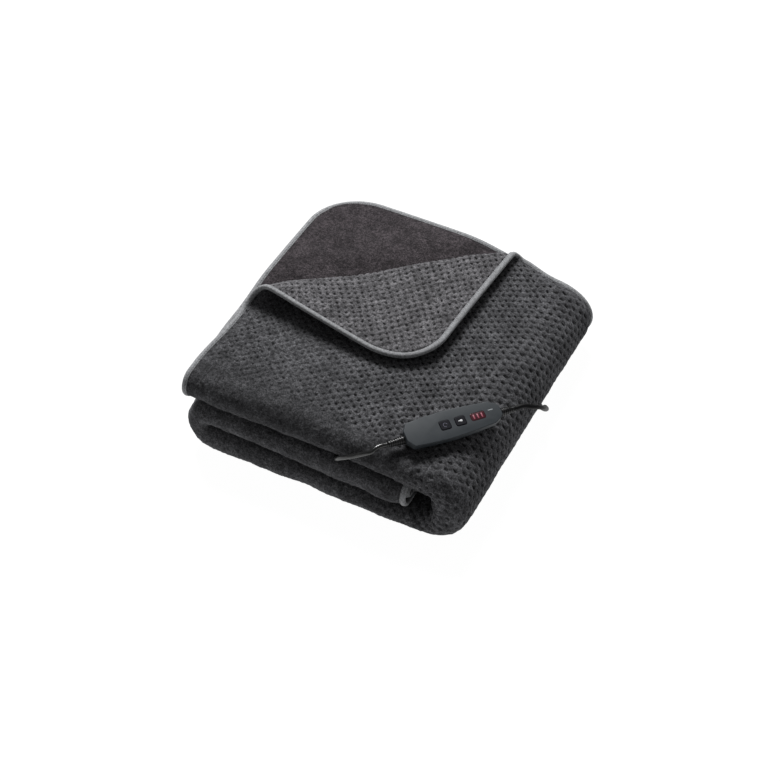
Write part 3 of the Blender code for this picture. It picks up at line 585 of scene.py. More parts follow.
@dataclass(frozen=True)
class Folds:
    """How the flat sheet is folded in four, turned back at a corner and rolled in three.

    The same folds as the solid's, so that the fine cloth lies on it.
    """

    half_width: float = 192.0       # of the pile
    half_depth: float = 200.0
    cloth: float = 6.0              # thickness, and at the hem, where it is pressed
    hem_cloth: float = 3.0
    corner_radius: float = 72.0
    corner_block: float = 96.0      # the part of the grid that is bent at each corner
    tape_width: float = 5.5
    hem_ramp: float = 20.0          # from the edge to the cloth's full thickness
    right_x: float = 136.0          # the big fold on the right: its axis and radius
    right_z: float = 52.0
    right_radius: float = 35.0
    left_x: float = -155.0          # the lower fold on the left
    left_z: float = 40.0
    left_radius: float = 20.2
    middle_end: float = 112.0       # where the middle bundle ends
    top_back: float = 196.5         # the top layer's free back edge
    back_short: float = 4.0         # the turns inside end this much short of the back
    left_ease: float = 4.2          # the top's left end draws in this much at the front,
    front_ease_y: float = -80.0     # from here,
    front_ease_reach: float = 100.0     # fully at this distance from it
    loop_pull: float = 10.8         # the turned corner draws the top layer in this much,
    loop_pull_y: float = -170.0     # from here,
    loop_pull_reach: float = 90.0   # fully at this distance from it
    tuck: float = 10.0              # the layers inside draw in this much at the back,
    tuck_y: float = 110.0           # from here,
    tuck_reach: float = 80.0        # fully at this distance from it
    left_ease_x: float = -95.0      # all three act to the left of this,
    left_ease_reach: float = 95.0   # fully at this distance from it
    slack: float = 0.75             # how far the inner layers buckle in the big fold
    crown: float = 0.05             # the pile is this much taller in its middle,
    crown_end: float = 140.0        # fading to here
    sag: float = 0.12               # and this much lower at its back right,
    sag_start: tuple[float, float] = (20.0, -20.0)      # from this x and y,
    sag_reach: tuple[float, float] = (150.0, 200.0)     # over these distances
    droop: float = 0.045            # and its back edge this much more on the right,
    droop_start: tuple[float, float] = (90.0, 178.0)    # from this x and y,
    droop_reach: tuple[float, float] = (35.0, 16.0)     # over these distances
    fold_x: float = -192.0          # the line that the corner is turned back along
    fold_y: float = -76.6
    fold_angle: float = math.radians(44.0)
    roll_left: float = 16.3         # radius of the roll at its open left end
    roll_right: float = 5.8         # and where it is pinched
    roll_fade: float = 195.0
    flap_rest: float = 10.2         # from the layer below to the flap, middle to middle
    fall_start: float = 67.5        # past the roll, the flap keeps its height so far,
    flap_fall: float = 232.0        # and then settles over this length
    bare_lift: float = 7.0          # the layer that it uncovers rises this much,
    lift_start: float = 12.0        # from this far past the fold line,
    lift_reach: float = 55.0        # fully this much farther
    step: float = 10.3              # between layers in the turns of the fold in four
    top_rows: tuple[Bundle, ...] = (
        Bundle(-192.0, 99.0, 11.3), Bundle(-120.0, 98.6, 11.0), Bundle(-50.0, 98.5, 10.8),
        Bundle(20.0, 97.5, 10.5), Bundle(65.0, 95.6, 10.4), Bundle(100.0, 92.0, 10.3),
        Bundle(136.0, 87.0, 10.3))
    middle_rows: tuple[Bundle, ...] = (
        Bundle(-155.0, 60.2, 9.6), Bundle(-60.0, 58.2, 10.2), Bundle(0.0, 54.5, 11.0),
        Bundle(60.0, 51.8, 11.3), Bundle(112.0, 51.2, 10.9))
    bottom_rows: tuple[Bundle, ...] = (
        Bundle(-155.0, 0.0, 11.2), Bundle(-60.0, 0.0, 10.2), Bundle(0.0, 0.0, 9.1),
        Bundle(60.0, 0.0, 8.0), Bundle(100.0, 0.0, 7.6), Bundle(120.0, 0.0, 8.1),
        Bundle(136.0, 0.0, 9.33))

    # Worked out from the sizes above: where the turns at the front and the back start, the
    # lengths of the strip's parts, of the layers and of their turns, and the flat sheet.
    front: float = field(init=False)
    back: float = field(init=False)
    top: float = field(init=False)
    right_turn: float = field(init=False)
    bottom: float = field(init=False)
    left_turn: float = field(init=False)
    middle: float = field(init=False)
    top_ply: float = field(init=False)
    second_ply: float = field(init=False)
    short_ply: float = field(init=False)
    outer_turn: float = field(init=False)
    inner_turn: float = field(init=False)
    length: float = field(init=False)
    width: float = field(init=False)
    fold_along: Vector = field(init=False)
    fold_across: Vector = field(init=False)

    def __post_init__(self) -> None:
        """Work out the lengths that the folds take up."""
        front = -self.half_depth + 1.5 * self.step + self.cloth / 2
        back = self.half_depth - 0.5 * self.step - self.cloth / 2 - self.back_short
        lengths = {
            "front": front,
            "back": back,
            "top": self.half_width + self.right_x,
            "right_turn": math.pi * self.right_radius,
            "bottom": self.right_x - self.left_x,
            "left_turn": math.pi * self.left_radius,
            "middle": self.middle_end - self.left_x,
            "top_ply": self.top_back - front,
            "second_ply": self.half_depth - front,
            "short_ply": back - front,
            "outer_turn": 1.5 * math.pi * self.step,
            "inner_turn": 0.5 * math.pi * self.step,
        }
        for name, value in lengths.items():
            object.__setattr__(self, name, value)
        object.__setattr__(self, "length", self.top + self.right_turn + self.bottom
                           + self.left_turn + self.middle)
        object.__setattr__(self, "width", self.top_ply + self.second_ply
                           + 2 * self.short_ply + self.outer_turn + 2 * self.inner_turn)
        object.__setattr__(self, "fold_along",
                           Vector((math.cos(self.fold_angle), math.sin(self.fold_angle))))
        object.__setattr__(self, "fold_across",
                           Vector((-math.sin(self.fold_angle), math.cos(self.fold_angle))))

    def strip(self, along: float) -> tuple[float, float, float, float, float, float]:
        """Middle of the rolled strip.

        Args:
            along: Place along the strip.

        Returns:
            x, z, outward x and z, the step between layers, and how far they buckle.
        """
        if along <= self.top:
            x = along - self.half_width
            return (x, read_bundles(self.top_rows, x, "middle"), 0.0, 1.0,
                    read_bundles(self.top_rows, x, "step"), 0.0)
        along -= self.top
        if along <= self.right_turn:
            share = along / self.right_turn
            turn = math.pi * (0.5 - share)
            step = mix(self.top_rows[-1].step, self.bottom_rows[-1].step, smooth(share))
            out_x, out_z = math.cos(turn), math.sin(turn)
            return (self.right_x + self.right_radius * out_x,
                    self.right_z + self.right_radius * out_z, out_x, out_z, step,
                    self.slack * out_x * out_x)
        along -= self.right_turn
        if along <= self.bottom:
            x = self.right_x - along
            step = read_bundles(self.bottom_rows, x, "step")
            return x, 1.5 * step + self.cloth / 2, 0.0, -1.0, step, 0.0
        along -= self.bottom
        if along <= self.left_turn:
            share = along / self.left_turn
            turn = -math.pi * (0.5 + share)
            step = mix(self.bottom_rows[0].step, self.middle_rows[0].step,
                       smooth(1.6 * share))
            out_x, out_z = math.cos(turn), math.sin(turn)
            return (self.left_x + self.left_radius * out_x,
                    self.left_z + self.left_radius * out_z, out_x, out_z, step, 0.0)
        x = self.left_x + along - self.left_turn
        return (x, read_bundles(self.middle_rows, x, "middle"), 0.0, 1.0,
                read_bundles(self.middle_rows, x, "step"), 0.0)

    def section(self, across: float, step: float) -> tuple[float, float, float, float]:
        """The fold in four.

        Args:
            across: Place across the sheet.
            step: Distance between layers there.

        Returns:
            y, height in the strip, and the cloth's outward direction in y and height.
        """
        front, back = self.front, self.back
        if across <= self.top_ply:
            return self.top_back - across, 1.5 * step, 0.0, 1.0
        across -= self.top_ply
        if across <= self.outer_turn:
            turn = math.pi * (0.5 + across / self.outer_turn)
            out_y, out_h = math.cos(turn), math.sin(turn)
            return front + 1.5 * self.step * out_y, 1.5 * step * out_h, out_y, out_h
        across -= self.outer_turn
        if across <= self.short_ply:
            return front + across, -1.5 * step, 0.0, -1.0
        across -= self.short_ply
        if across <= self.inner_turn:
            turn = math.pi * (across / self.inner_turn - 0.5)
            out_y, out_h = math.cos(turn), math.sin(turn)
            return back + 0.5 * step * out_y, (0.5 * out_h - 1.0) * step, out_y, out_h
        across -= self.inner_turn
        if across <= self.short_ply:
            return back - across, -0.5 * step, 0.0, 1.0
        across -= self.short_ply
        if across <= self.inner_turn:
            turn = math.pi * (across / self.inner_turn - 0.5)
            out_y, out_h = math.cos(turn), math.sin(turn)
            return front - 0.5 * step * out_y, 0.5 * out_h * step, out_y, -out_h
        return front + across - self.inner_turn, 0.5 * step, 0.0, -1.0

    def past_fold(self, x: float, y: float) -> tuple[float, float]:
        """Distance past the turned corner's fold line, and place along it, at x and y."""
        away = Vector((x - self.fold_x, y - self.fold_y))
        return away.dot(self.fold_across), away.dot(self.fold_along)

    def past_at(self, along: float, across: float) -> float:
        """Distance past the fold line of a place on the flat sheet's top layer."""
        return self.past_fold(along - self.half_width, self.top_back - across)[0]

    def roll(self, x: float, y: float, offset: float) -> Point:
        """Roll a point of the top layer over the fold line.

        Args:
            x: Its place to the right, before it is rolled.
            y: Its place to the back.
            offset: Its height above the layer's middle.

        Returns:
            Its rolled x and y, and its height above the layer's middle.
        """
        past, place = self.past_fold(x, y)
        radius = mix(self.roll_left, self.roll_right, smooth(place / self.roll_fade))
        turn = min(past / radius, math.pi)
        flat = max(0.0, past - math.pi * radius)
        reach = (radius - offset) * math.sin(turn) - flat
        height = radius - (radius - offset) * math.cos(turn)
        if flat > 0.0:
            height += (self.flap_rest - 2 * radius) * smooth((flat - self.fall_start)
                                                               / self.flap_fall)
        base = (Vector((self.fold_x, self.fold_y)) + self.fold_along * place
                + self.fold_across * reach)
        return base.x, base.y, height

    def pile_height(self, x: float, y: float) -> float:
        """How much taller or lower than its tables the pile is at a point of the floor.

        Args:
            x: The point's place to the right.
            y: Its place to the back.

        Returns:
            The share of the tabled height, 1 where they are the same.
        """
        middle = 1.0 - (y / self.half_depth) ** 2
        crown = self.crown * middle * (1.0 - smooth(x / self.crown_end))
        sag = (self.sag * smooth((x - self.sag_start[0]) / self.sag_reach[0])
               * smooth((y - self.sag_start[1]) / self.sag_reach[1]))
        droop = (self.droop * smooth((x - self.droop_start[0]) / self.droop_reach[0])
                 * smooth((y - self.droop_start[1]) / self.droop_reach[1]))
        return 1.0 + crown - sag - droop

    def point(self, along: float, across: float, offset: float) -> Vector:
        """Carry a point of the flat sheet through every fold.

        Args:
            along: Place along the sheet.
            across: Place across it.
            offset: Height above the sheet's middle.

        Returns:
            The place of the folded sheet, in millimetres.
        """
        x, middle, out_x, out_z, step, buckle = self.strip(
            min(max(along, 0.0), self.length))
        y, height, cloth_y, cloth_h = self.section(min(max(across, 0.0), self.width), step)
        x += min(along, 0.0) + max(along - self.length, 0.0)
        y += offset * cloth_y + max(-across, 0.0) + max(across - self.width, 0.0)
        if height < 0.0:
            height *= 1.0 + buckle
        height += offset * cloth_h
        on_top = across <= self.top_ply
        if along < self.top:
            past, _ = self.past_fold(x, y)
            if on_top and past > 0.0:
                x, y, offset = self.roll(x, y, height - 1.5 * step)
                height = 1.5 * step + offset
            elif not on_top:
                level = min(1.0, max(0.0, (height + 1.5 * step) / (2 * step)))
                lift = smooth((past - self.lift_start) / self.lift_reach)
                height += self.bare_lift * lift * level
            near_left = smooth((self.left_ease_x - x) / self.left_ease_reach)
            at_front = smooth((self.front_ease_y - y) / self.front_ease_reach)
            x += self.left_ease * at_front * near_left
            if on_top:
                pull = smooth((y - self.loop_pull_y) / self.loop_pull_reach)
                x += self.loop_pull * pull * near_left
            elif across < self.width - self.second_ply:
                x += self.tuck * smooth((y - self.tuck_y) / self.tuck_reach) * near_left
        x += out_x * height
        z = middle + out_z * height
        return Vector((x, y, z * self.pile_height(x, y)))

    def rounded(self, along: float, across: float,
                proud: float = 0.0) -> tuple[float, float]:
        """Bend the square grid near a corner so that the sheet's corner is round.

        Args:
            along: Place along the square sheet.
            across: Place across it.
            proud: How far to move a point of the edge outwards.

        Returns:
            The place on the real sheet.
        """
        end = min(along, self.length - along)
        side = min(across, self.width - across)
        block = self.corner_block
        if end >= block or side >= block:
            new_end = end - (proud if end < side else 0.0)
            new_side = side - (proud if side < end else 0.0)
        else:
            reach = block - min(end, side)
            share = (block - max(end, side)) / reach
            reach += proud
            radius = max(self.corner_radius + reach - block, 0.0)
            straight = reach - radius
            travel = share * (straight + radius * math.pi / 4)
            turn = max(travel - straight, 0.0) / max(radius, 1.0)
            far = block - straight - radius * math.cos(turn)
            near = block - min(travel, straight) - radius * math.sin(turn)
            new_end, new_side = (far, near) if end <= side else (near, far)
        return (new_end if along < self.length / 2 else self.length - new_end,
                new_side if across < self.width / 2 else self.width - new_side)

    def edge(self, along: float, across: float) -> float:
        """Distance from the sheet's edge on the square grid."""
        return min(along, self.length - along, across, self.width - across)


# ------------------------------------------------------------------ the cloth
@dataclass(frozen=True)
class FineMargins:
    """How far the fine grid goes on past each part of the cloth that shows."""

    edge: float = 10.0              # round the sheet's edge, half a cell of the base grid
    top_end: float = 12.0           # past the right end of the top
    before_front: float = 12.0      # before the turn at the front
    after_front: float = 6.0        # and past it
    right_end: float = 10.0         # past the big fold
    left_start: float = 24.0        # before the lower fold on the left
    left_span: float = 60.0         # and how much longer than that fold it is
    roll: float = 110.0             # past the turned corner's fold line
    loop: float = 30.0              # before that line, inside the roll
    bare: float = 20.0              # before that line, on the uncovered layer
    middle_end: float = 70.0        # from the end of the middle bundle


@dataclass
class Blanket:
    """The cloth and its binding."""

    folds: Folds = field(default_factory=Folds)
    fleece: WaffleFleece = field(default_factory=WaffleFleece)
    tape: WovenTape = field(default_factory=WovenTape)
    margins: FineMargins = field(default_factory=FineMargins)
    cell: tuple[float, float] = (16.4, 17.6)    # base grid, halved up to three times,
    turn_cell: float = 12.5         # closer across the turn at the front,
    tight_cell: float = 4.2         # closest across the tight turns inside,
    hidden_cell: float = 30.0       # and wide across the hidden layers
    pillow_height: float = 2.1      # from the bottom of a pit to the top of a pillow
    relief_level: float = 0.6       # the share of it that lies under the cloth's own face
    lump: float = 46.0              # width of the cloth's thick and thin places
    lumps: tuple[tuple[float, float], ...] = (
        (1.4, 1.0), (0.7, 2.7), (0.6, 13.0))    # their heights, and how much finer each is
    lumpy: tuple[float, float] = (1.5, 0.8)     # how strong: where smooth, where waffled
    worn: float = 0.36              # how far the top's left part is rubbed smooth,
    worn_end: float = -60.0         # fading from here
    worn_fade: float = 110.0        # over this length
    worn_inner: float = 0.3         # and the share of it on the cloth's inner face
    # The front's mask below sets how far the folded front is rubbed smooth, and where
    # painted shade darkens it.
    brushed: float = 0.92           # how far the folded front is rubbed smooth
    brush_left: float = 75.0        # the front's brushed pile reaches so far onto the top,
    brush_right: float = 14.0       # less on the right,
    brush_start: float = 10.0       # narrowing from here
    brush_length: float = 260.0     # over this length,
    brush_turn: float = 0.8         # ends at this share of the turn,
    brush_end: float = 20.0         # fading so far,
    brush_on_bend: float = 0.38     # and is weaker on the big fold,
    brush_bend: float = 60.0        # fading to that from this far before and after it
    painted_front_shade_right: float = 0.35         # how dark the front's painted shade still is on the right, that far past the top's end
    painted_front_shade_fade: float = 80.0          # that far past the top's end
    pucker: float = 3.2             # height of the puckers in the squeezed inner layers,
    pucker_size: tuple[float, float] = (13.0, 24.0)     # and their length and width
    pucker_turn: float = 0.6        # they start at this share of the turn,
    pucker_edge: float = 12.0       # fading in so far,
    pucker_bend: tuple[float, float] = (30.0, 40.0)     # past the fold, fading so far
    drift: float = 1.6              # how far the knit strays from straight
    drift_size: float = 60.0        # width of those waves
    drift_seed: int = 1             # so that it strays the same way in each run
    back_fade: float = 12.0         # where the turned-over side's colour starts
    bare_fade: float = 6.0          # where the uncovered layer's starts
    rim: float = 1.0                # points nearer the edge than this lie on it
    floor: float = 0.2              # the cloth stays this high above the floor
    tape_thick: float = 0.8
    tape_gap: float = 0.35
    tape_ripple: float = 0.25       # height of its ripples
    ripple_size: float = 14.0
    tape_step: float = 5.0          # from one of its sections to the next,
    corner_steps: int = 14          # with so many on each side of a corner

    def columns(self) -> list[float]:
        """Base grid lines along the sheet."""
        count = round(self.folds.length / self.cell[0])
        return [0.0, *spread(0.0, self.folds.length, count)]

    def rows(self) -> list[float]:
        """Base grid lines across the sheet, closer in its tight turns.

        Returns:
            Their places, from 0 to the sheet's width.
        """
        f = self.folds
        lines = [0.0]
        for length, size in ((f.top_ply, self.cell[1]), (f.outer_turn, self.turn_cell),
                             (f.short_ply, self.hidden_cell),
                             (f.inner_turn, self.tight_cell),
                             (f.short_ply, self.hidden_cell),
                             (f.inner_turn, self.tight_cell), (f.second_ply, self.cell[1])):
            lines += spread(lines[-1], lines[-1] + length, round(length / size))
        return lines

    def fineness(self, face: Face, along: float, across: float) -> int:
        """How many times a cell of the base grid is halved.

        Args:
            face: Which face of the cloth.
            along: The cell's place along the sheet.
            across: Its place across it.

        Returns:
            0 where it is hidden, up to 3 where the waffle shows.
        """
        f, margins = self.folds, self.margins
        if f.edge(along, across) < margins.edge:
            return 1
        past = f.past_at(along, across)
        top = across < f.top_ply
        in_top = along < f.top + margins.top_end
        front_turn = (f.top_ply - margins.before_front < across
                      < f.top_ply + f.outer_turn + margins.after_front)
        left_turn = f.top + f.right_turn + f.bottom - margins.left_start
        in_left_turn = left_turn < along < left_turn + f.left_turn + margins.left_span
        if face is Face.OUTER:
            if top and in_top and past > 0.0:
                return 2 if past < margins.roll else 1
            if front_turn or (top and along < f.top + f.right_turn + margins.right_end):
                return 3
            if top:
                return 3 if in_left_turn else 1
            return 0
        if top and in_top and past > -margins.loop:
            return 3
        if across > f.width - f.second_ply and in_top:
            over = f.past_fold(along - f.half_width, f.half_depth - (f.width - across))[0]
            return 2 if over > -margins.bare else 1
        return 1 if along > f.length - margins.middle_end or in_left_turn else 0

    def skin(self, face: Face) -> bmesh.types.BMesh:
        """One face of the cloth, flat: x is along, y is across.

        Args:
            face: Which face.

        Returns:
            Its grid, finer where the waffle shows.
        """
        columns, rows = self.columns(), self.rows()
        skin = bmesh.new()
        bmesh.ops.create_grid(skin, x_segments=len(columns) - 1, y_segments=len(rows) - 1,
                              size=0.5)
        for vert in skin.verts:
            column = round((vert.co.x + 0.5) * (len(columns) - 1))
            row = round((vert.co.y + 0.5) * (len(rows) - 1))
            vert.co = (columns[column], rows[row], 0.0)
        level = skin.faces.layers.int.new("level")
        for cell in skin.faces:
            centre = cell.calc_center_median()
            cell[level] = self.fineness(face, centre.x, centre.y)
        for turn in (1, 2, 3):
            edges = [e for e in skin.edges
                     if any(cell[level] >= turn for cell in e.link_faces)]
            bmesh.ops.subdivide_edges(skin, edges=edges, cuts=1, use_grid_fill=True)
        return skin

    def waffle(self, along: float, across: float) -> float:
        """Height of the waffle.

        Args:
            along: Place along the sheet.
            across: Place across it.

        Returns:
            0 in a pit and 1 on a pillow.
        """
        lattice = (math.cos(math.pi * along / self.fleece.pit_column)
                   * math.cos(math.tau * across / self.fleece.pit_row))
        slope = smooth((lattice + 0.6) / 1.6)
        pit = smooth((lattice - 0.3) / 0.65)
        return 1.0 - 0.45 * slope - 0.55 * pit

    def on_bend(self, along: float, margin: float, fade: float) -> float:
        """Find a place's share in the big fold on the right.

        Args:
            along: Place along the sheet.
            margin: How far before and after the fold the share starts.
            fade: Over what length it comes up to 1.

        Returns:
            1 on the fold and 0 well away from it.
        """
        f = self.folds
        return (smooth((along - f.top + margin) / fade)
                * smooth((f.top + f.right_turn + margin - along) / fade))

    def smoothed(self, along: float, across: float, face: Face) -> float:
        """How far the waffle is rubbed smooth: on the folded front, and all the inside.

        Args:
            along: Place along the sheet.
            across: Place across it.
            face: Which face of the cloth.

        Returns:
            0 for the full waffle and 1 for none.
        """
        f = self.folds
        if across > f.width - f.second_ply:
            return 1.0
        worn = self.worn * (1.0 - smooth((along - f.half_width - self.worn_end)
                                         / self.worn_fade))
        if face is Face.INNER:
            return self.worn_inner * worn
        return max(worn, self.brushed * self.brushed_and_shaded_front(along, across))

    def brushed_and_shaded_front(self, along: float, across: float) -> float:
        """Where the folded front's pile is rubbed smooth and darkened by painted shade.

        Args:
            along: Place along the sheet.
            across: Place across it.

        Returns:
            1 on the folded front and 0 on top.
        """
        f = self.folds
        reach = mix(self.brush_left, self.brush_right,
                    smooth((along - self.brush_start) / self.brush_length))
        front = smooth((across - f.top_ply + reach) / reach)
        behind = smooth((across - f.top_ply - self.brush_turn * f.outer_turn)
                        / self.brush_end)
        on_bend = self.on_bend(along, self.brush_bend, self.brush_bend)
        return max(0.0, front - behind) * mix(1.0, self.brush_on_bend, on_bend)

    def crumple(self, along: float, across: float) -> float:
        """How far the inner layers pucker where they are squeezed by the big fold.

        Args:
            along: Place along the sheet.
            across: Place across it.

        Returns:
            The shift of the whole thickness.
        """
        f = self.folds
        inside = (smooth((across - f.top_ply - self.pucker_turn * f.outer_turn)
                         / self.pucker_edge)
                  * smooth((f.width - f.second_ply - across) / self.pucker_edge))
        spot = Vector((along / self.pucker_size[0], across / self.pucker_size[1], 9.0))
        return (self.pucker * noise.noise(spot) * self.on_bend(along, *self.pucker_bend)
                * inside)

    def loft(self, along: float, across: float, face: Face) -> float:
        """Half the cloth's thickness, with its unevenness and its waffle.

        Args:
            along: Place along the sheet.
            across: Place across it.
            face: Which face of the cloth.

        Returns:
            The face's distance from the middle of the cloth.
        """
        f = self.folds
        edge = f.edge(along, across)
        share = smooth((edge - f.tape_width) / (f.hem_ramp - f.tape_width))
        half = mix(f.hem_cloth, f.cloth, share) / 2
        spot = Vector((along / self.lump, across / self.lump, face.value))
        uneven = sum(height * noise.noise(spot * finer) for height, finer in self.lumps)
        shown = 1.0 - self.smoothed(along, across, face)
        relief = (self.pillow_height * shown
                  * (self.waffle(along, across) - self.relief_level))
        return half + share * (uneven * mix(*self.lumpy, shown) + relief)

    def tones(self, along: float, across: float, drawn: tuple[float, float],
              face: Face) -> dict[str, float]:
        """What the fleece's shader reads at a place of the cloth.

        Args:
            along: Place along the sheet.
            across: Place across it.
            drawn: The same place on the knit, which strays a little.
            face: Which face of the cloth.

        Returns:
            How smooth and bare it is, how far turned over, and how much painted shade
            darkens its folded front.
        """
        f = self.folds
        past = f.past_at(along, across)
        turned = across < f.top_ply and along < f.top and face is Face.INNER
        return {
            "smoothed": self.smoothed(*drawn, face),
            "bare": smooth((across - f.width + f.second_ply) / self.bare_fade),
            "back": smooth(past / self.back_fade + 0.5) if turned else 0.0,
            # painted shade on the folded front, weaker past the top's end
            "painted_front_shade": self.brushed_and_shaded_front(*drawn) * mix(
                1.0, self.painted_front_shade_right, smooth((along - f.top) / self.painted_front_shade_fade)),
        }

    def join_skins(self) -> bmesh.types.BMesh:
        """Join the cloth's two faces round its edge, still flat.

        Returns:
            The closed sheet, with each face at its own value's height.
        """
        cloth = bmesh.new()
        for face in (Face.OUTER, Face.INNER):
            skin = self.skin(face)
            bmesh.ops.translate(skin, vec=(0.0, 0.0, face.value), verts=skin.verts)
            mesh = bpy.data.meshes.new("skin")
            skin.to_mesh(mesh)
            skin.free()
            cloth.from_mesh(mesh)
            bpy.data.meshes.remove(mesh)
        rims = [e for e in cloth.edges if e.is_boundary]
        bmesh.ops.bridge_loops(cloth, edges=rims)
        return cloth

    def build_cloth(self, material: bpy.types.Material) -> bpy.types.Object:
        """The fleece: two faces, each fine where it shows, folded into the pile.

        Args:
            material: The fleece.

        Returns:
            The piece.
        """
        f = self.folds
        noise.seed_set(self.drift_seed)
        cloth = self.join_skins()
        uv = cloth.loops.layers.uv.new("sheet")
        layers = {name: cloth.verts.layers.float.new(name)
                  for name in ("smoothed", "bare", "back", "painted_front_shade")}
        for vert in cloth.verts:
            flat = vert.co.copy()
            face = Face.OUTER if flat.z > 0 else Face.INNER
            along, across = f.rounded(flat.x, flat.y)
            drawn, half = (along, across), f.hem_cloth / 2
            if f.edge(flat.x, flat.y) > self.rim:
                spot = Vector((flat.x / self.drift_size, flat.y / self.drift_size, 4.0))
                drift = noise.noise_vector(spot) * self.drift
                drawn = (along + drift.x, across + drift.y)
                half = self.loft(*drawn, face)
            for name, value in self.tones(along, across, drawn, face).items():
                vert[layers[name]] = value
            vert.co = f.point(along, across, half * face.value + self.crumple(along, across))
            vert.co.z = max(vert.co.z, self.floor)
            for loop in vert.link_loops:
                loop[uv].uv = (drawn[0] * MM, drawn[1] * MM)
        piece = finish_mesh("cloth", cloth, material, angle=180.0)
        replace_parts(piece, "blanket_cloth")
        return piece

    def perimeter(self) -> list[tuple[float, float, float]]:
        """Places round the square sheet's edge.

        Returns:
            Each one's place along and across, and the distance round the edge so far.
        """
        f = self.folds
        corners = ((0.0, 0.0), (f.length, 0.0), (f.length, f.width), (0.0, f.width))
        places, run = [], 0.0
        for start, end in zip(corners, corners[1:] + corners[:1]):
            side = math.dist(start, end)
            block = f.corner_block
            lines = [0.0, *spread(0.0, block, self.corner_steps)]
            lines += spread(block, side - block, round((side - 2 * block) / self.tape_step))
            lines += spread(side - block, side, self.corner_steps)
            for at in lines[:-1]:
                share = at / side
                places.append((mix(start[0], end[0], share), mix(start[1], end[1], share),
                               run + at))
            run += side
        return places

    def tape_section(self) -> list[tuple[float, float]]:
        """The tape's closed section, folded over the hem.

        Returns:
            Its points: how far in from the sheet's edge, and how high.
        """
        wide, half = self.folds.tape_width, self.folds.hem_cloth / 2
        outer = half + self.tape_gap + self.tape_thick
        proud = self.tape_gap + self.tape_thick
        section = [(wide, half - 0.1), (wide + 0.3, outer - 0.7), (wide - 0.5, outer - 0.1),
                   (0.7 * wide, outer + 0.2), (0.4 * wide, outer + 0.3), (0.1 * wide, outer)]
        section += [(-proud * share, outer * height)
                    for share, height in ((0.35, 0.75), (0.75, 0.45), (0.95, 0.15))]
        section += [(inward, -height) for inward, height in reversed(section)]
        return [*section, (0.0, -half), (0.0, half)]

    def build_binding(self, material: bpy.types.Material) -> bpy.types.Object:
        """The tape: a thin folded strip that straddles the cloth's edge all the way round.

        Args:
            material: The tape.

        Returns:
            The piece.
        """
        f = self.folds
        places, section = self.perimeter(), self.tape_section()
        half = f.hem_cloth / 2
        tape = bmesh.new()
        bmesh.ops.create_grid(tape, x_segments=len(places), y_segments=len(section),
                              size=0.5)
        uv = tape.loops.layers.uv.new("sheet")
        for vert in tape.verts:
            at = round((vert.co.x + 0.5) * len(places))
            spot = round((vert.co.y + 0.5) * len(section))
            along, across, run = places[at % len(places)]
            inward, height = section[spot % len(section)]
            run = run if at < len(places) else run + places[1][2] + places[-1][2]
            for loop in vert.link_loops:
                loop[uv].uv = (run * MM, max(inward, 0.0) * MM)
            deep_x = min(max(along, inward), f.length - inward) if inward > 0 else along
            deep_y = min(max(across, inward), f.width - inward) if inward > 0 else across
            place = f.rounded(deep_x, deep_y, max(-inward, 0.0))
            if abs(height) > half:
                wave = noise.noise(Vector((along / self.ripple_size,
                                           across / self.ripple_size, height)))
                height += math.copysign(self.tape_ripple * wave, height)
            vert.co = f.point(*place, height)
        bmesh.ops.remove_doubles(tape, verts=tape.verts, dist=0.001)
        piece = finish_mesh("binding", tape, material, angle=60.0)
        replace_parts(piece, "edge_binding")
        return piece

    def build(self) -> bpy.types.Object:
        """Returns:
            The cloth.
        """
        cloth = self.build_cloth(self.fleece.material())
        binding = self.build_binding(self.tape.material())
        return cloth


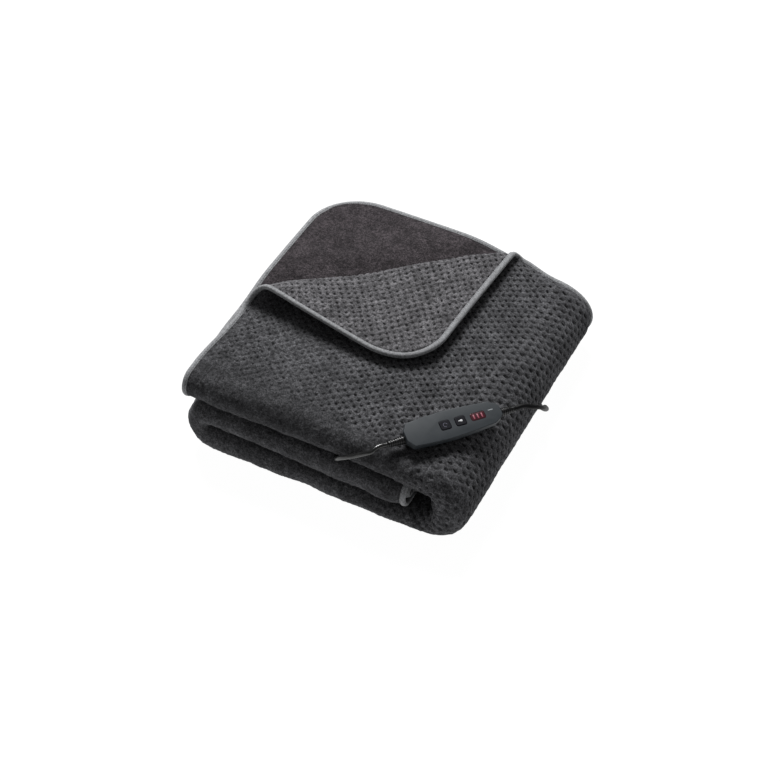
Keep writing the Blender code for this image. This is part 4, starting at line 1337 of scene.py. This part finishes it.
# ------------------------------------------------------------------ the controller
@dataclass
class HandController:
    """The hand controller: housing, two buttons, a level display and its strain reliefs."""

    at: Point = (131.5, -117.8, 105.0)      # near the middle of its base
    turn: float = math.radians(50.5)        # its length, from the right towards the back
    fall: tuple[float, float] = (0.30, -0.12)   # the pile's slope under it
    height: float = 16.0
    parting: float = 8.0
    seam: float = 0.12              # half the dark line between its halves
    corner: float = 1.2
    edge: float = 1.0
    foot: float = 0.76              # width of the base, of the width at the parting
    outline: tuple[tuple[float, float], ...] = (
        (-62.5, 6.5), (-56.0, 15.8), (-30.0, 17.8), (-5.0, 18.4), (22.0, 17.0), (50.0, 14.4),
        (58.5, 10.0), (62.5, 6.0))
    end: float = 62.5
    gap: float = 0.35
    button: tuple[float, float, float] = (13.4, 12.0, 3.9)
    button_at: tuple[float, float] = (-11.3, 8.8)
    button_corner: float = 2.4
    button_rim: float = 0.9
    dish_inset: float = 2.2         # from the button's rim to its shallow dish
    dish: float = 0.25
    proud: float = 0.7              # how far the buttons stand above the housing
    window: tuple[float, float, float] = (18.6, 9.6, 2.0)
    window_at: float = 31.7
    window_corner: float = 1.6
    window_rim: float = 0.5
    window_proud: float = 0.1
    pocket_room: float = 0.7        # how much larger a pocket is than what it holds
    pocket_corner: float = 2.6
    pocket_rim: float = 0.05
    button_pocket: float = 4.6      # depths of the pockets
    window_pocket: float = 2.35
    bar: tuple[float, float] = (1.7, 5.8)       # a lit bar, and the step to the next
    bar_step: float = 5.2
    print_thick: float = 0.12       # thickness of the printed marks and the bars
    print_rim: float = 0.03
    ring: tuple[float, float] = (2.1, 2.7)      # inner and outer radius of the ring
    ring_sweep: float = math.radians(300)
    flag: tuple[tuple[float, float], ...] = (
        (-2.6, 0.25), (-0.8, 0.6), (0.6, 1.25), (2.4, 1.3), (2.7, 0.9))
    flag_shift: float = -0.4
    dash: tuple[float, float] = (6.5, 1.0)
    dash_at: tuple[float, float] = (49.5, 3.3)
    relief: float = 21.0
    relief_at: float = 7.0
    relief_rings: int = 7
    relief_radius: tuple[float, float] = (5.2, 3.9)     # of its first and its last ring
    relief_tip: tuple[float, float] = (3.7, 3.2)
    relief_groove: float = 0.9
    frame: Matrix = field(init=False)
    shell_finish: MouldedPlastic = MouldedPlastic("moulded ABS, slate", "262b2f", 0.52,
                                                  shine=0.34)
    button_finish: MouldedPlastic = MouldedPlastic("moulded ABS, near black", "0a0a12", 0.6,
                                                   shine=0.15)
    window_finish: MouldedPlastic = MouldedPlastic("tinted polycarbonate, dark red",
                                                   "3b151c", 0.3, 2.0, 0.01, 0.3)
    vinyl: MouldedPlastic = MouldedPlastic("flexible vinyl, black", "0c0c0d", 0.27,
                                           shine=0.6)
    mark: MouldedPlastic = MouldedPlastic("pad-printed ink, white", "c4c5c6", 0.5)
    faint_light: MouldedPlastic = MouldedPlastic("pale grey dash", "8b9092", 0.5)
    faint: MouldedPlastic = MouldedPlastic("pad-printed ink, grey violet", "4c4b5a", 0.5)

    def __post_init__(self) -> None:
        """Find the controller's own axes and where its base lies on the solid's."""
        up = Vector((*self.fall, 1.0)).normalized()
        level = Vector((math.cos(self.turn), math.sin(self.turn), 0.0))
        length = (level - up * level.dot(up)).normalized()
        frame = Matrix((length, up.cross(length), up)).transposed().to_4x4()
        start = Vector(self.at)
        low = bpy.data.objects["controller_lower_shell"].data
        base = min((v.co / MM - start).dot(up) for v in low.vertices)
        self.frame = Matrix.Translation(start + up * base) @ frame

    def place(self, solid: bmesh.types.BMesh, spot: Point = (0.0, 0.0, 0.0)) -> None:
        """Put a shape at a spot of the controller, measured from the middle of its base."""
        bmesh.ops.transform(solid, matrix=self.frame @ Matrix.Translation(spot),
                            verts=solid.verts)

    def plate(self, rows: tuple[tuple[float, float], ...], low: float, high: float,
              corner: float, rim: float, steps: int = 4,
              foot: float = 1.0) -> bmesh.types.BMesh:
        """A plate of a tabled outline with rounded upright corners and rounded rims.

        Args:
            rows: Places along it, each with the half width there.
            low: Height of its underside.
            high: Height of its top.
            corner: Radius of its upright corners.
            rim: Radius of its top rim, or of its bottom rim when negative.
            steps: Segments of each rounding.
            foot: Width of its underside, as a share of the width at its top.

        Returns:
            The shape.
        """
        solid, under = raise_outline(rows, low, high)
        bmesh.ops.scale(solid, vec=((3 + foot) / 4, foot, 1.0), verts=under.verts)
        bmesh.ops.recalc_face_normals(solid, faces=solid.faces)
        upright = [e for e in solid.edges
                   if abs(e.verts[0].co.z - e.verts[1].co.z) > (high - low) / 2]
        round_edges(solid, upright, corner, steps)
        level = high if rim > 0 else low
        edges = [e for e in solid.edges if all(abs(v.co.z - level) < 0.001 for v in e.verts)]
        round_edges(solid, edges, abs(rim), steps)
        return solid

    @staticmethod
    def oblong(along: float, across: float) -> tuple[tuple[float, float], ...]:
        """Outline rows of a rectangle."""
        return (-along / 2, across / 2), (along / 2, across / 2)

    def cut(self, shell: bpy.types.Object, solid: bmesh.types.BMesh) -> None:
        """Cut a pocket into a shell and keep only the result.

        Args:
            shell: The shell.
            solid: The pocket's shape, freed here.
        """
        tool = finish_mesh("pocket", solid, shell.data.materials[0])
        step = shell.modifiers.new("pocket", "BOOLEAN")
        step.operation = "DIFFERENCE"
        step.object = tool
        graph = bpy.context.evaluated_depsgraph_get()
        made = bpy.data.meshes.new_from_object(shell.evaluated_get(graph))
        shell.modifiers.remove(step)
        shell.data = made
        bpy.data.objects.remove(tool, do_unlink=True)

    def build_shells(self, plastic: bpy.types.Material) -> None:
        """The two halves of the housing, with pockets for the buttons and the window.

        Args:
            plastic: Their material.
        """
        lower = self.plate(self.outline, 0.0, self.parting - self.seam, self.corner,
                           -self.edge, foot=self.foot)
        self.place(lower)
        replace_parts(finish_mesh("housing_lower", lower, plastic),
                    "controller_lower_shell")
        upper = self.plate(self.outline, self.parting + self.seam, self.height, self.corner,
                           self.edge)
        self.place(upper)
        shell = finish_mesh("housing_upper", upper, plastic)
        pockets = (*((at, self.button, self.button_pocket) for at in self.button_at),
                   (self.window_at, self.window, self.window_pocket))
        for at, (along, across, _), depth in pockets:
            outline = self.oblong(along + self.pocket_room, across + self.pocket_room)
            hole = self.plate(outline, -depth, depth, self.pocket_corner, self.pocket_rim, 3)
            self.place(hole, (at, 0.0, self.height))
            self.cut(shell, hole)
        shell.data.set_sharp_from_angle(angle=math.radians(30.0))
        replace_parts(shell, "controller_upper_shell")

    def build_button(self, at: float, name: str, body: str,
                     plastic: bpy.types.Material) -> None:
        """A push button with rounded corners and a shallow dish for the fingertip.

        Args:
            at: Its place along the controller.
            name: The solid that it replaces.
            body: The body it rides on.
            plastic: Its material.
        """
        along, across, high = self.button
        solid = self.plate(self.oblong(along, across), 0.0, high, self.button_corner,
                           self.button_rim)
        top = max(solid.faces, key=lambda f: f.calc_area() if f.normal.z > 0.9 else 0.0)
        bmesh.ops.inset_region(solid, faces=[top], thickness=self.dish_inset,
                               depth=-self.dish)
        self.place(solid, (at, 0.0, self.height + self.proud - high))
        piece = finish_mesh(f"{name}_cap", solid, plastic, body)
        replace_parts(piece, name)

    def build_marks(self) -> None:
        """Printed marks: an open ring and a small flag on the buttons; and a pale grey dash
        on the housing.
        """
        top = self.height + self.proud - self.dish
        thick = self.print_thick
        ring = bmesh.new()
        inner, outer = self.ring
        profile = [(inner, 0.0), (outer, 0.0), (outer, thick), (inner, thick)]
        line = [ring.verts.new((x, 0.0, z)) for x, z in profile]
        loop = [ring.edges.new(pair) for pair in zip(line, line[1:] + line[:1])]
        start = ring.faces.new(line)
        bmesh.ops.spin(ring, geom=[start, *loop, *line], axis=(0.0, 0.0, 1.0),
                       cent=(0.0, 0.0, 0.0), angle=self.ring_sweep, steps=30)
        self.place(ring, (self.button_at[0], 0.0, top))
        finish_mesh("power_mark", ring, self.faint.material(), "power_key")
        flag = self.plate(self.flag, 0.0, thick, 0.1, self.print_rim, 2)
        self.place(flag, (self.button_at[1] + self.flag_shift, 0.0, top))
        finish_mesh("heat_mark", flag, self.mark.material(), "heat_key")
        # A pale grey dash on the housing near its right end.
        dash = self.plate(self.oblong(*self.dash), 0.0, 0.1, 0.3, self.print_rim, 2)
        self.place(dash, (*self.dash_at, self.height - 0.02))
        finish_mesh("level_dash", dash, self.faint_light.material())

    def build_window(self) -> None:
        """The level display: a tinted window with three lit bars."""
        along, across, thick = self.window
        pane = self.plate(self.oblong(along, across), 0.0, thick, self.window_corner,
                          self.window_rim)
        self.place(pane, (self.window_at, 0.0, self.height - thick + self.window_proud))
        piece = finish_mesh("level_window", pane, self.window_finish.material())
        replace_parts(piece, "display_window")
        glow = LitBar().material()
        for index in range(3):
            bar = self.plate(self.oblong(*self.bar), 0.0, self.print_thick, 0.5, 0.04, 2)
            self.place(bar, (self.window_at + self.bar_step * (index - 1), 0.0,
                             self.height + 0.08))
            finish_mesh(f"level_bar_{index + 1}", bar, glow)

    def build_relief(self, towards: float, name: str,
                     vinyl: bpy.types.Material) -> bpy.types.Object:
        """A tapered strain relief with raised rings, turned about the lead.

        Args:
            towards: 1 for the mains end and -1 for the blanket's.
            name: The solid that it replaces.
            vinyl: Its material.

        Returns:
            The piece.
        """
        start, rings = self.end + self.gap, self.relief_rings
        pitch = (self.relief - 2.0) / rings
        thick, thin = self.relief_radius
        profile = [(start - 1.0, 0.0), (start - 1.0, thick), (start + 0.8, thick)]
        for ring in range(rings):
            at = start + 1.0 + ring * pitch
            radius = mix(thick, thin, ring / (rings - 1))
            low = radius - self.relief_groove
            profile += [(at, low), (at + 0.3 * pitch, low), (at + 0.45 * pitch, radius),
                        (at + 0.85 * pitch, radius), (at + pitch, low)]
        tip = start + self.relief
        profile += [(tip - 0.5, self.relief_tip[0]), (tip, self.relief_tip[1]), (tip, 0.0)]
        solid = bmesh.new()
        line = [solid.verts.new((towards * at, 0.0, radius)) for at, radius in profile]
        edges = [solid.edges.new(pair) for pair in zip(line, line[1:])]
        bmesh.ops.spin(solid, geom=line + edges, axis=(1.0, 0.0, 0.0),
                       cent=(0.0, 0.0, 0.0), angle=math.tau, steps=28, use_merge=True)
        bmesh.ops.remove_doubles(solid, verts=solid.verts, dist=0.001)
        self.place(solid, (0.0, 0.0, self.relief_at))
        piece = finish_mesh(f"{name}_rings", solid, vinyl, angle=50.0)
        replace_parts(piece, name)
        return piece

    def leave(self, towards: float, step: float) -> list[Vector]:
        """The first two points of a lead, straight out of its strain relief."""
        end = self.end + self.relief + 2 * self.gap
        return [self.frame @ Vector((towards * along, 0.0, self.relief_at))
                for along in (end, end + step)]

    def build(self, vinyl: bpy.types.Material) -> dict[str, bpy.types.Object]:
        """Build the whole controller.

        Args:
            vinyl: The material of its strain reliefs.

        Returns:
            Its two strain reliefs by name.
        """
        self.build_shells(self.shell_finish.material())
        plastic = self.button_finish.material()
        for at, name in zip(self.button_at, ("power", "heat")):
            self.build_button(at, f"{name}_button", f"{name}_key", plastic)
        self.build_marks()
        self.build_window()
        return {name: self.build_relief(towards, name, vinyl)
                for name, towards in (("relief_blanket_lead", -1.0),
                                      ("relief_mains_lead", 1.0))}


# ------------------------------------------------------------------ the leads
@dataclass
class Leads:
    """The lead into the blanket, and the mains lead with its coil and plug."""

    lead: float = 5.8               # its diameter
    leave_step: float = 2.1         # straight out of the reliefs, in diameters
    floor_run: float = 3.3          # height of its middle along the floor
    blanket_route: tuple[Point, ...] = (
        (71.3, -202.6, 121.9), (66.0, -204.7, 119.2), (53.7, -206.4, 110.5),
        (40.8, -207.0, 101.6), (31.8, -205.5, 94.1), (26.0, -202.3, 86.8),
        (22.2, -197.5, 80.9), (19.0, -191.5, 77.6), (16.5, -187.0, 76.8))
    mains_fall: tuple[Point, ...] = (
        (201.6, -37.0, 103.5), (207.5, -28.5, 97.5), (209.3, -20.0, 89.5),
        (207.5, -10.0, 80.0), (204.9, 0.5, 68.0), (202.4, 10.0, 56.5), (199.4, 20.0, 44.0),
        (194.5, 31.0, 30.5), (188.0, 42.0, 17.5), (179.5, 53.0, 7.3))
    mains_floor: tuple[tuple[float, float], ...] = (
        (170.5, 66.0), (167.5, 84.0), (167.5, 140.0), (167.5, 196.0), (164.0, 209.5),
        (154.3, 219.3), (140.5, 222.8), (110.0, 220.0), (60.0, 211.5), (20.0, 208.0),
        (-30.0, 206.4), (-80.0, 205.9))
    sheath: MouldedPlastic = MouldedPlastic("flexible vinyl, black, dulled by handling",
                                            "0a0a0b", 0.5, shine=0.12)
    coil_at: tuple[float, float] = (-100.0, 241.2)
    coil_slots: tuple[tuple[int, int], ...] = (
        (1, 0), (0, 0), (-1, 0), (-1, 1), (-1, 2), (0, 2), (0, 1), (1, 1))
    coil_steps: int = 16            # points in a turn of the coil
    coil_radius: float = 5.25       # in diameters of the lead, like tail_radius
    coil_start: float = math.radians(-90.0)
    coil_floor: float = 0.35        # from the floor to its lowest turns
    last_turn: float = 210 / 360    # how much of the last turn is laid
    crossing: int = 5               # points over which a turn moves to its next place
    rising: int = 6                 # points over which the lead rises to the plug
    tail_turn: float = math.radians(-30.0)
    tail_radius: float = 6.0
    tail: tuple[float, ...] = (0.0, 13.0, 26.0, 38.9)
    plug_middle: float = 7.2        # height of the plug's middle
    plug_thick: float = 13.7
    plug_edge: float = 2.4
    plug_gap: float = 0.35
    plug_outline: tuple[tuple[float, float], ...] = (
        (0.0, 5.5), (9.0, 7.5), (20.0, 16.0), (25.0, 17.5), (38.0, 17.5))

    def coil_points(self) -> list[Vector]:
        """The gathered turns, each one moving over to the next free place in the coil.

        Returns:
            Points along the turns, up to where the lead leaves for the plug.
        """
        points, per_turn = [], self.coil_steps
        leave = (len(self.coil_slots) - 1) * per_turn + round(per_turn * self.last_turn)
        for index in range(1, leave):
            turn, part = divmod(index, per_turn)
            here = self.coil_slots[turn]
            nearer = self.coil_slots[min(turn + 1, len(self.coil_slots) - 1)]
            share = smooth((part - per_turn + self.crossing) / self.crossing)
            wide = mix(here[0], nearer[0], share)
            high = mix(here[1], nearer[1], share)
            radius = self.coil_radius * self.lead + wide * self.lead
            angle = self.coil_start - math.tau * index / per_turn
            z = self.coil_floor + self.lead * (high + 0.5)
            if index > leave - self.rising:
                rise = smooth((index - leave + self.rising) / self.rising)
                z = mix(z, self.plug_middle, rise)
                radius = mix(radius, self.tail_radius * self.lead, rise)
            points.append(Vector((self.coil_at[0] + radius * math.cos(angle),
                                  self.coil_at[1] + radius * math.sin(angle), z)))
        return points

    def tail_frame(self) -> Matrix:
        """Where the lead leaves the coil's outer turn, with +X along it."""
        return (Matrix.Translation((*self.coil_at, self.plug_middle))
                @ Matrix.Rotation(self.tail_turn, 4, "Z")
                @ Matrix.Translation((0.0, self.tail_radius * self.lead, 0.0)))

    def draw(self, name: str, points: list[Vector], vinyl: bpy.types.Material,
             closed_ends: bool = True) -> tuple[bpy.types.Object, float]:
        """A round lead on one smooth curve.

        Args:
            name: The piece's name.
            points: The points that it passes through, in millimetres.
            vinyl: Its material.
            closed_ends: Whether its ends are capped.

        Returns:
            The piece and its length in metres.
        """
        curve = bpy.data.curves.new(name, "CURVE")
        curve.dimensions = "3D"
        curve.bevel_depth = self.lead / 2 * MM
        curve.bevel_resolution = 5
        curve.use_fill_caps = closed_ends
        curve.resolution_u = 6
        spline = curve.splines.new("BEZIER")
        spline.bezier_points.add(len(points) - 1)
        for spot, point in zip(spline.bezier_points, points):
            spot.co = Vector(point) * MM
            spot.handle_left_type = spot.handle_right_type = "AUTO"
        curve.materials.append(vinyl)
        piece = bpy.data.objects.new(name, curve)
        bpy.context.scene.collection.objects.link(piece)
        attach(piece, "pile")
        return piece, spline.calc_length()

    def build_plug(self, vinyl: bpy.types.Material) -> bpy.types.Object:
        """A flat two-pin plug that narrows to its lead.

        Args:
            vinyl: Its material.

        Returns:
            The piece.
        """
        half = self.plug_thick / 2
        solid, _ = raise_outline(self.plug_outline, -half, half)
        bmesh.ops.recalc_face_normals(solid, faces=solid.faces)
        round_edges(solid, solid.edges[:], self.plug_edge, 4)
        start = self.tail[-1] + self.plug_gap
        frame = self.tail_frame() @ Matrix.Translation((start, 0.0, 0.0))
        bmesh.ops.transform(solid, matrix=frame, verts=solid.verts)
        piece = finish_mesh("plug_body", solid, vinyl)
        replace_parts(piece, "mains_plug")
        return piece

    def build(self, controller: HandController, reliefs: dict[str, bpy.types.Object],
              vinyl: bpy.types.Material) -> None:
        """Args:
            controller: The controller that they leave.
            reliefs: Its two strain reliefs by name; not used.
            vinyl: The material of the short lead and the plug.
        """
        step = self.leave_step * self.lead
        exits = {towards: controller.leave(towards, step) for towards in (-1.0, 1.0)}
        short, length = self.draw(
            "lead_to_blanket", [*exits[-1.0], *map(Vector, self.blanket_route)], vinyl)
        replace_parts(short, "blanket_lead")
        floor = [Vector((*spot, self.floor_run)) for spot in self.mains_floor]
        tail = [self.tail_frame() @ Vector((along, 0.0, 0.0)) for along in self.tail]
        mains, length = self.draw(
            "lead_to_mains", [*exits[1.0], *map(Vector, self.mains_fall), *floor,
                              *self.coil_points(), *tail], self.sheath.material())
        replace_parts(mains, "mains_lead", "mains_lead_coil", "mains_lead_tail")
        plug = self.build_plug(vinyl)
        metal = NickelledBrass().material()
        pins = [bpy.data.objects[name] for name in ("plug_pin_left", "plug_pin_right")]
        for pin in pins:
            pin.data.materials.clear()
            pin.data.materials.append(metal)
        LOG.info("mains lead %.3f m", length)


# ------------------------------------------------------------------ the studio
@dataclass
class Studio:
    """A white floor and surroundings, one soft light and the photograph's camera."""

    camera_at: Point = (703.0, -1380.9, 1628.8)
    aim: Point = (0.0, 0.0, 43.2)
    focal_pixels: float = 1750.73
    long_side: float = 781.0
    shift_pixels: tuple[float, float] = (-5.59, -23.11)
    floor_half: float = 6.0         # metres, as for the light
    floor_glow: float = 0.98
    light_at: Point = (-1.05, 1.5, 2.55)
    light_size: float = 1.2
    light_power: float = 168.0
    surroundings: float = 0.2       # strength of the white surroundings

    def build_camera(self) -> None:
        """The camera at the photograph's viewing angle."""
        data = bpy.data.cameras.new("camera")
        data.sensor_width = 36.0
        data.lens = self.focal_pixels * data.sensor_width / self.long_side
        data.shift_x = self.shift_pixels[0] / self.long_side
        data.shift_y = self.shift_pixels[1] / self.long_side
        camera = bpy.data.objects.new("camera", data)
        camera.location = Vector(self.camera_at) * MM
        away = Vector(self.camera_at) - Vector(self.aim)
        camera.rotation_euler = away.to_track_quat("Z", "Y").to_euler()
        bpy.context.scene.collection.objects.link(camera)
        bpy.context.scene.camera = camera

    def build_light(self) -> None:
        """The square soft light behind the pile on the left, turned towards it."""
        data = bpy.data.lights.new("key", "AREA")
        data.size = self.light_size
        data.energy = self.light_power
        lamp = bpy.data.objects.new("key", data)
        lamp.location = self.light_at
        lamp.rotation_euler = Vector(self.light_at).to_track_quat("Z", "Y").to_euler()
        bpy.context.scene.collection.objects.link(lamp)

    def build_room(self) -> None:
        """The floor, the light and the white surroundings."""
        floor = bmesh.new()
        bmesh.ops.create_grid(floor, x_segments=1, y_segments=1, size=self.floor_half)
        mesh = bpy.data.meshes.new("floor")
        floor.to_mesh(mesh)
        floor.free()
        paper = new_material("matt white paper, lit from behind", "4a4a4a", 1.0)
        shader = paper.node_tree.nodes["Principled BSDF"]
        shader.inputs["Specular IOR Level"].default_value = 0.0
        shader.inputs["Emission Color"].default_value = linear("ffffff")
        shader.inputs["Emission Strength"].default_value = self.floor_glow
        mesh.materials.append(paper)
        ground = bpy.data.objects.new("floor", mesh)
        bpy.context.scene.collection.objects.link(ground)
        self.build_light()
        world = bpy.data.worlds.new("studio")
        world.use_nodes = True
        backdrop = world.node_tree.nodes["Background"]
        backdrop.inputs["Color"].default_value = (1.0, 1.0, 1.0, 1.0)
        backdrop.inputs["Strength"].default_value = self.surroundings
        bpy.context.scene.world = world
        bpy.context.scene.view_settings.view_transform = "Standard"


def main() -> None:
    """Load the solid and dress it."""
    logging.basicConfig(level=logging.INFO, format="%(message)s")
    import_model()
    studio = Studio()
    studio.build_camera()
    controller = HandController()
    vinyl = controller.vinyl.material()
    reliefs = controller.build(vinyl)
    LOG.info("controller dressed")
    Leads().build(controller, reliefs, vinyl)
    LOG.info("leads laid")
    cloth = Blanket().build()
    LOG.info("cloth folded: %d faces", len(cloth.data.polygons))
    studio.build_room()


if __name__ == "__main__":
    main()
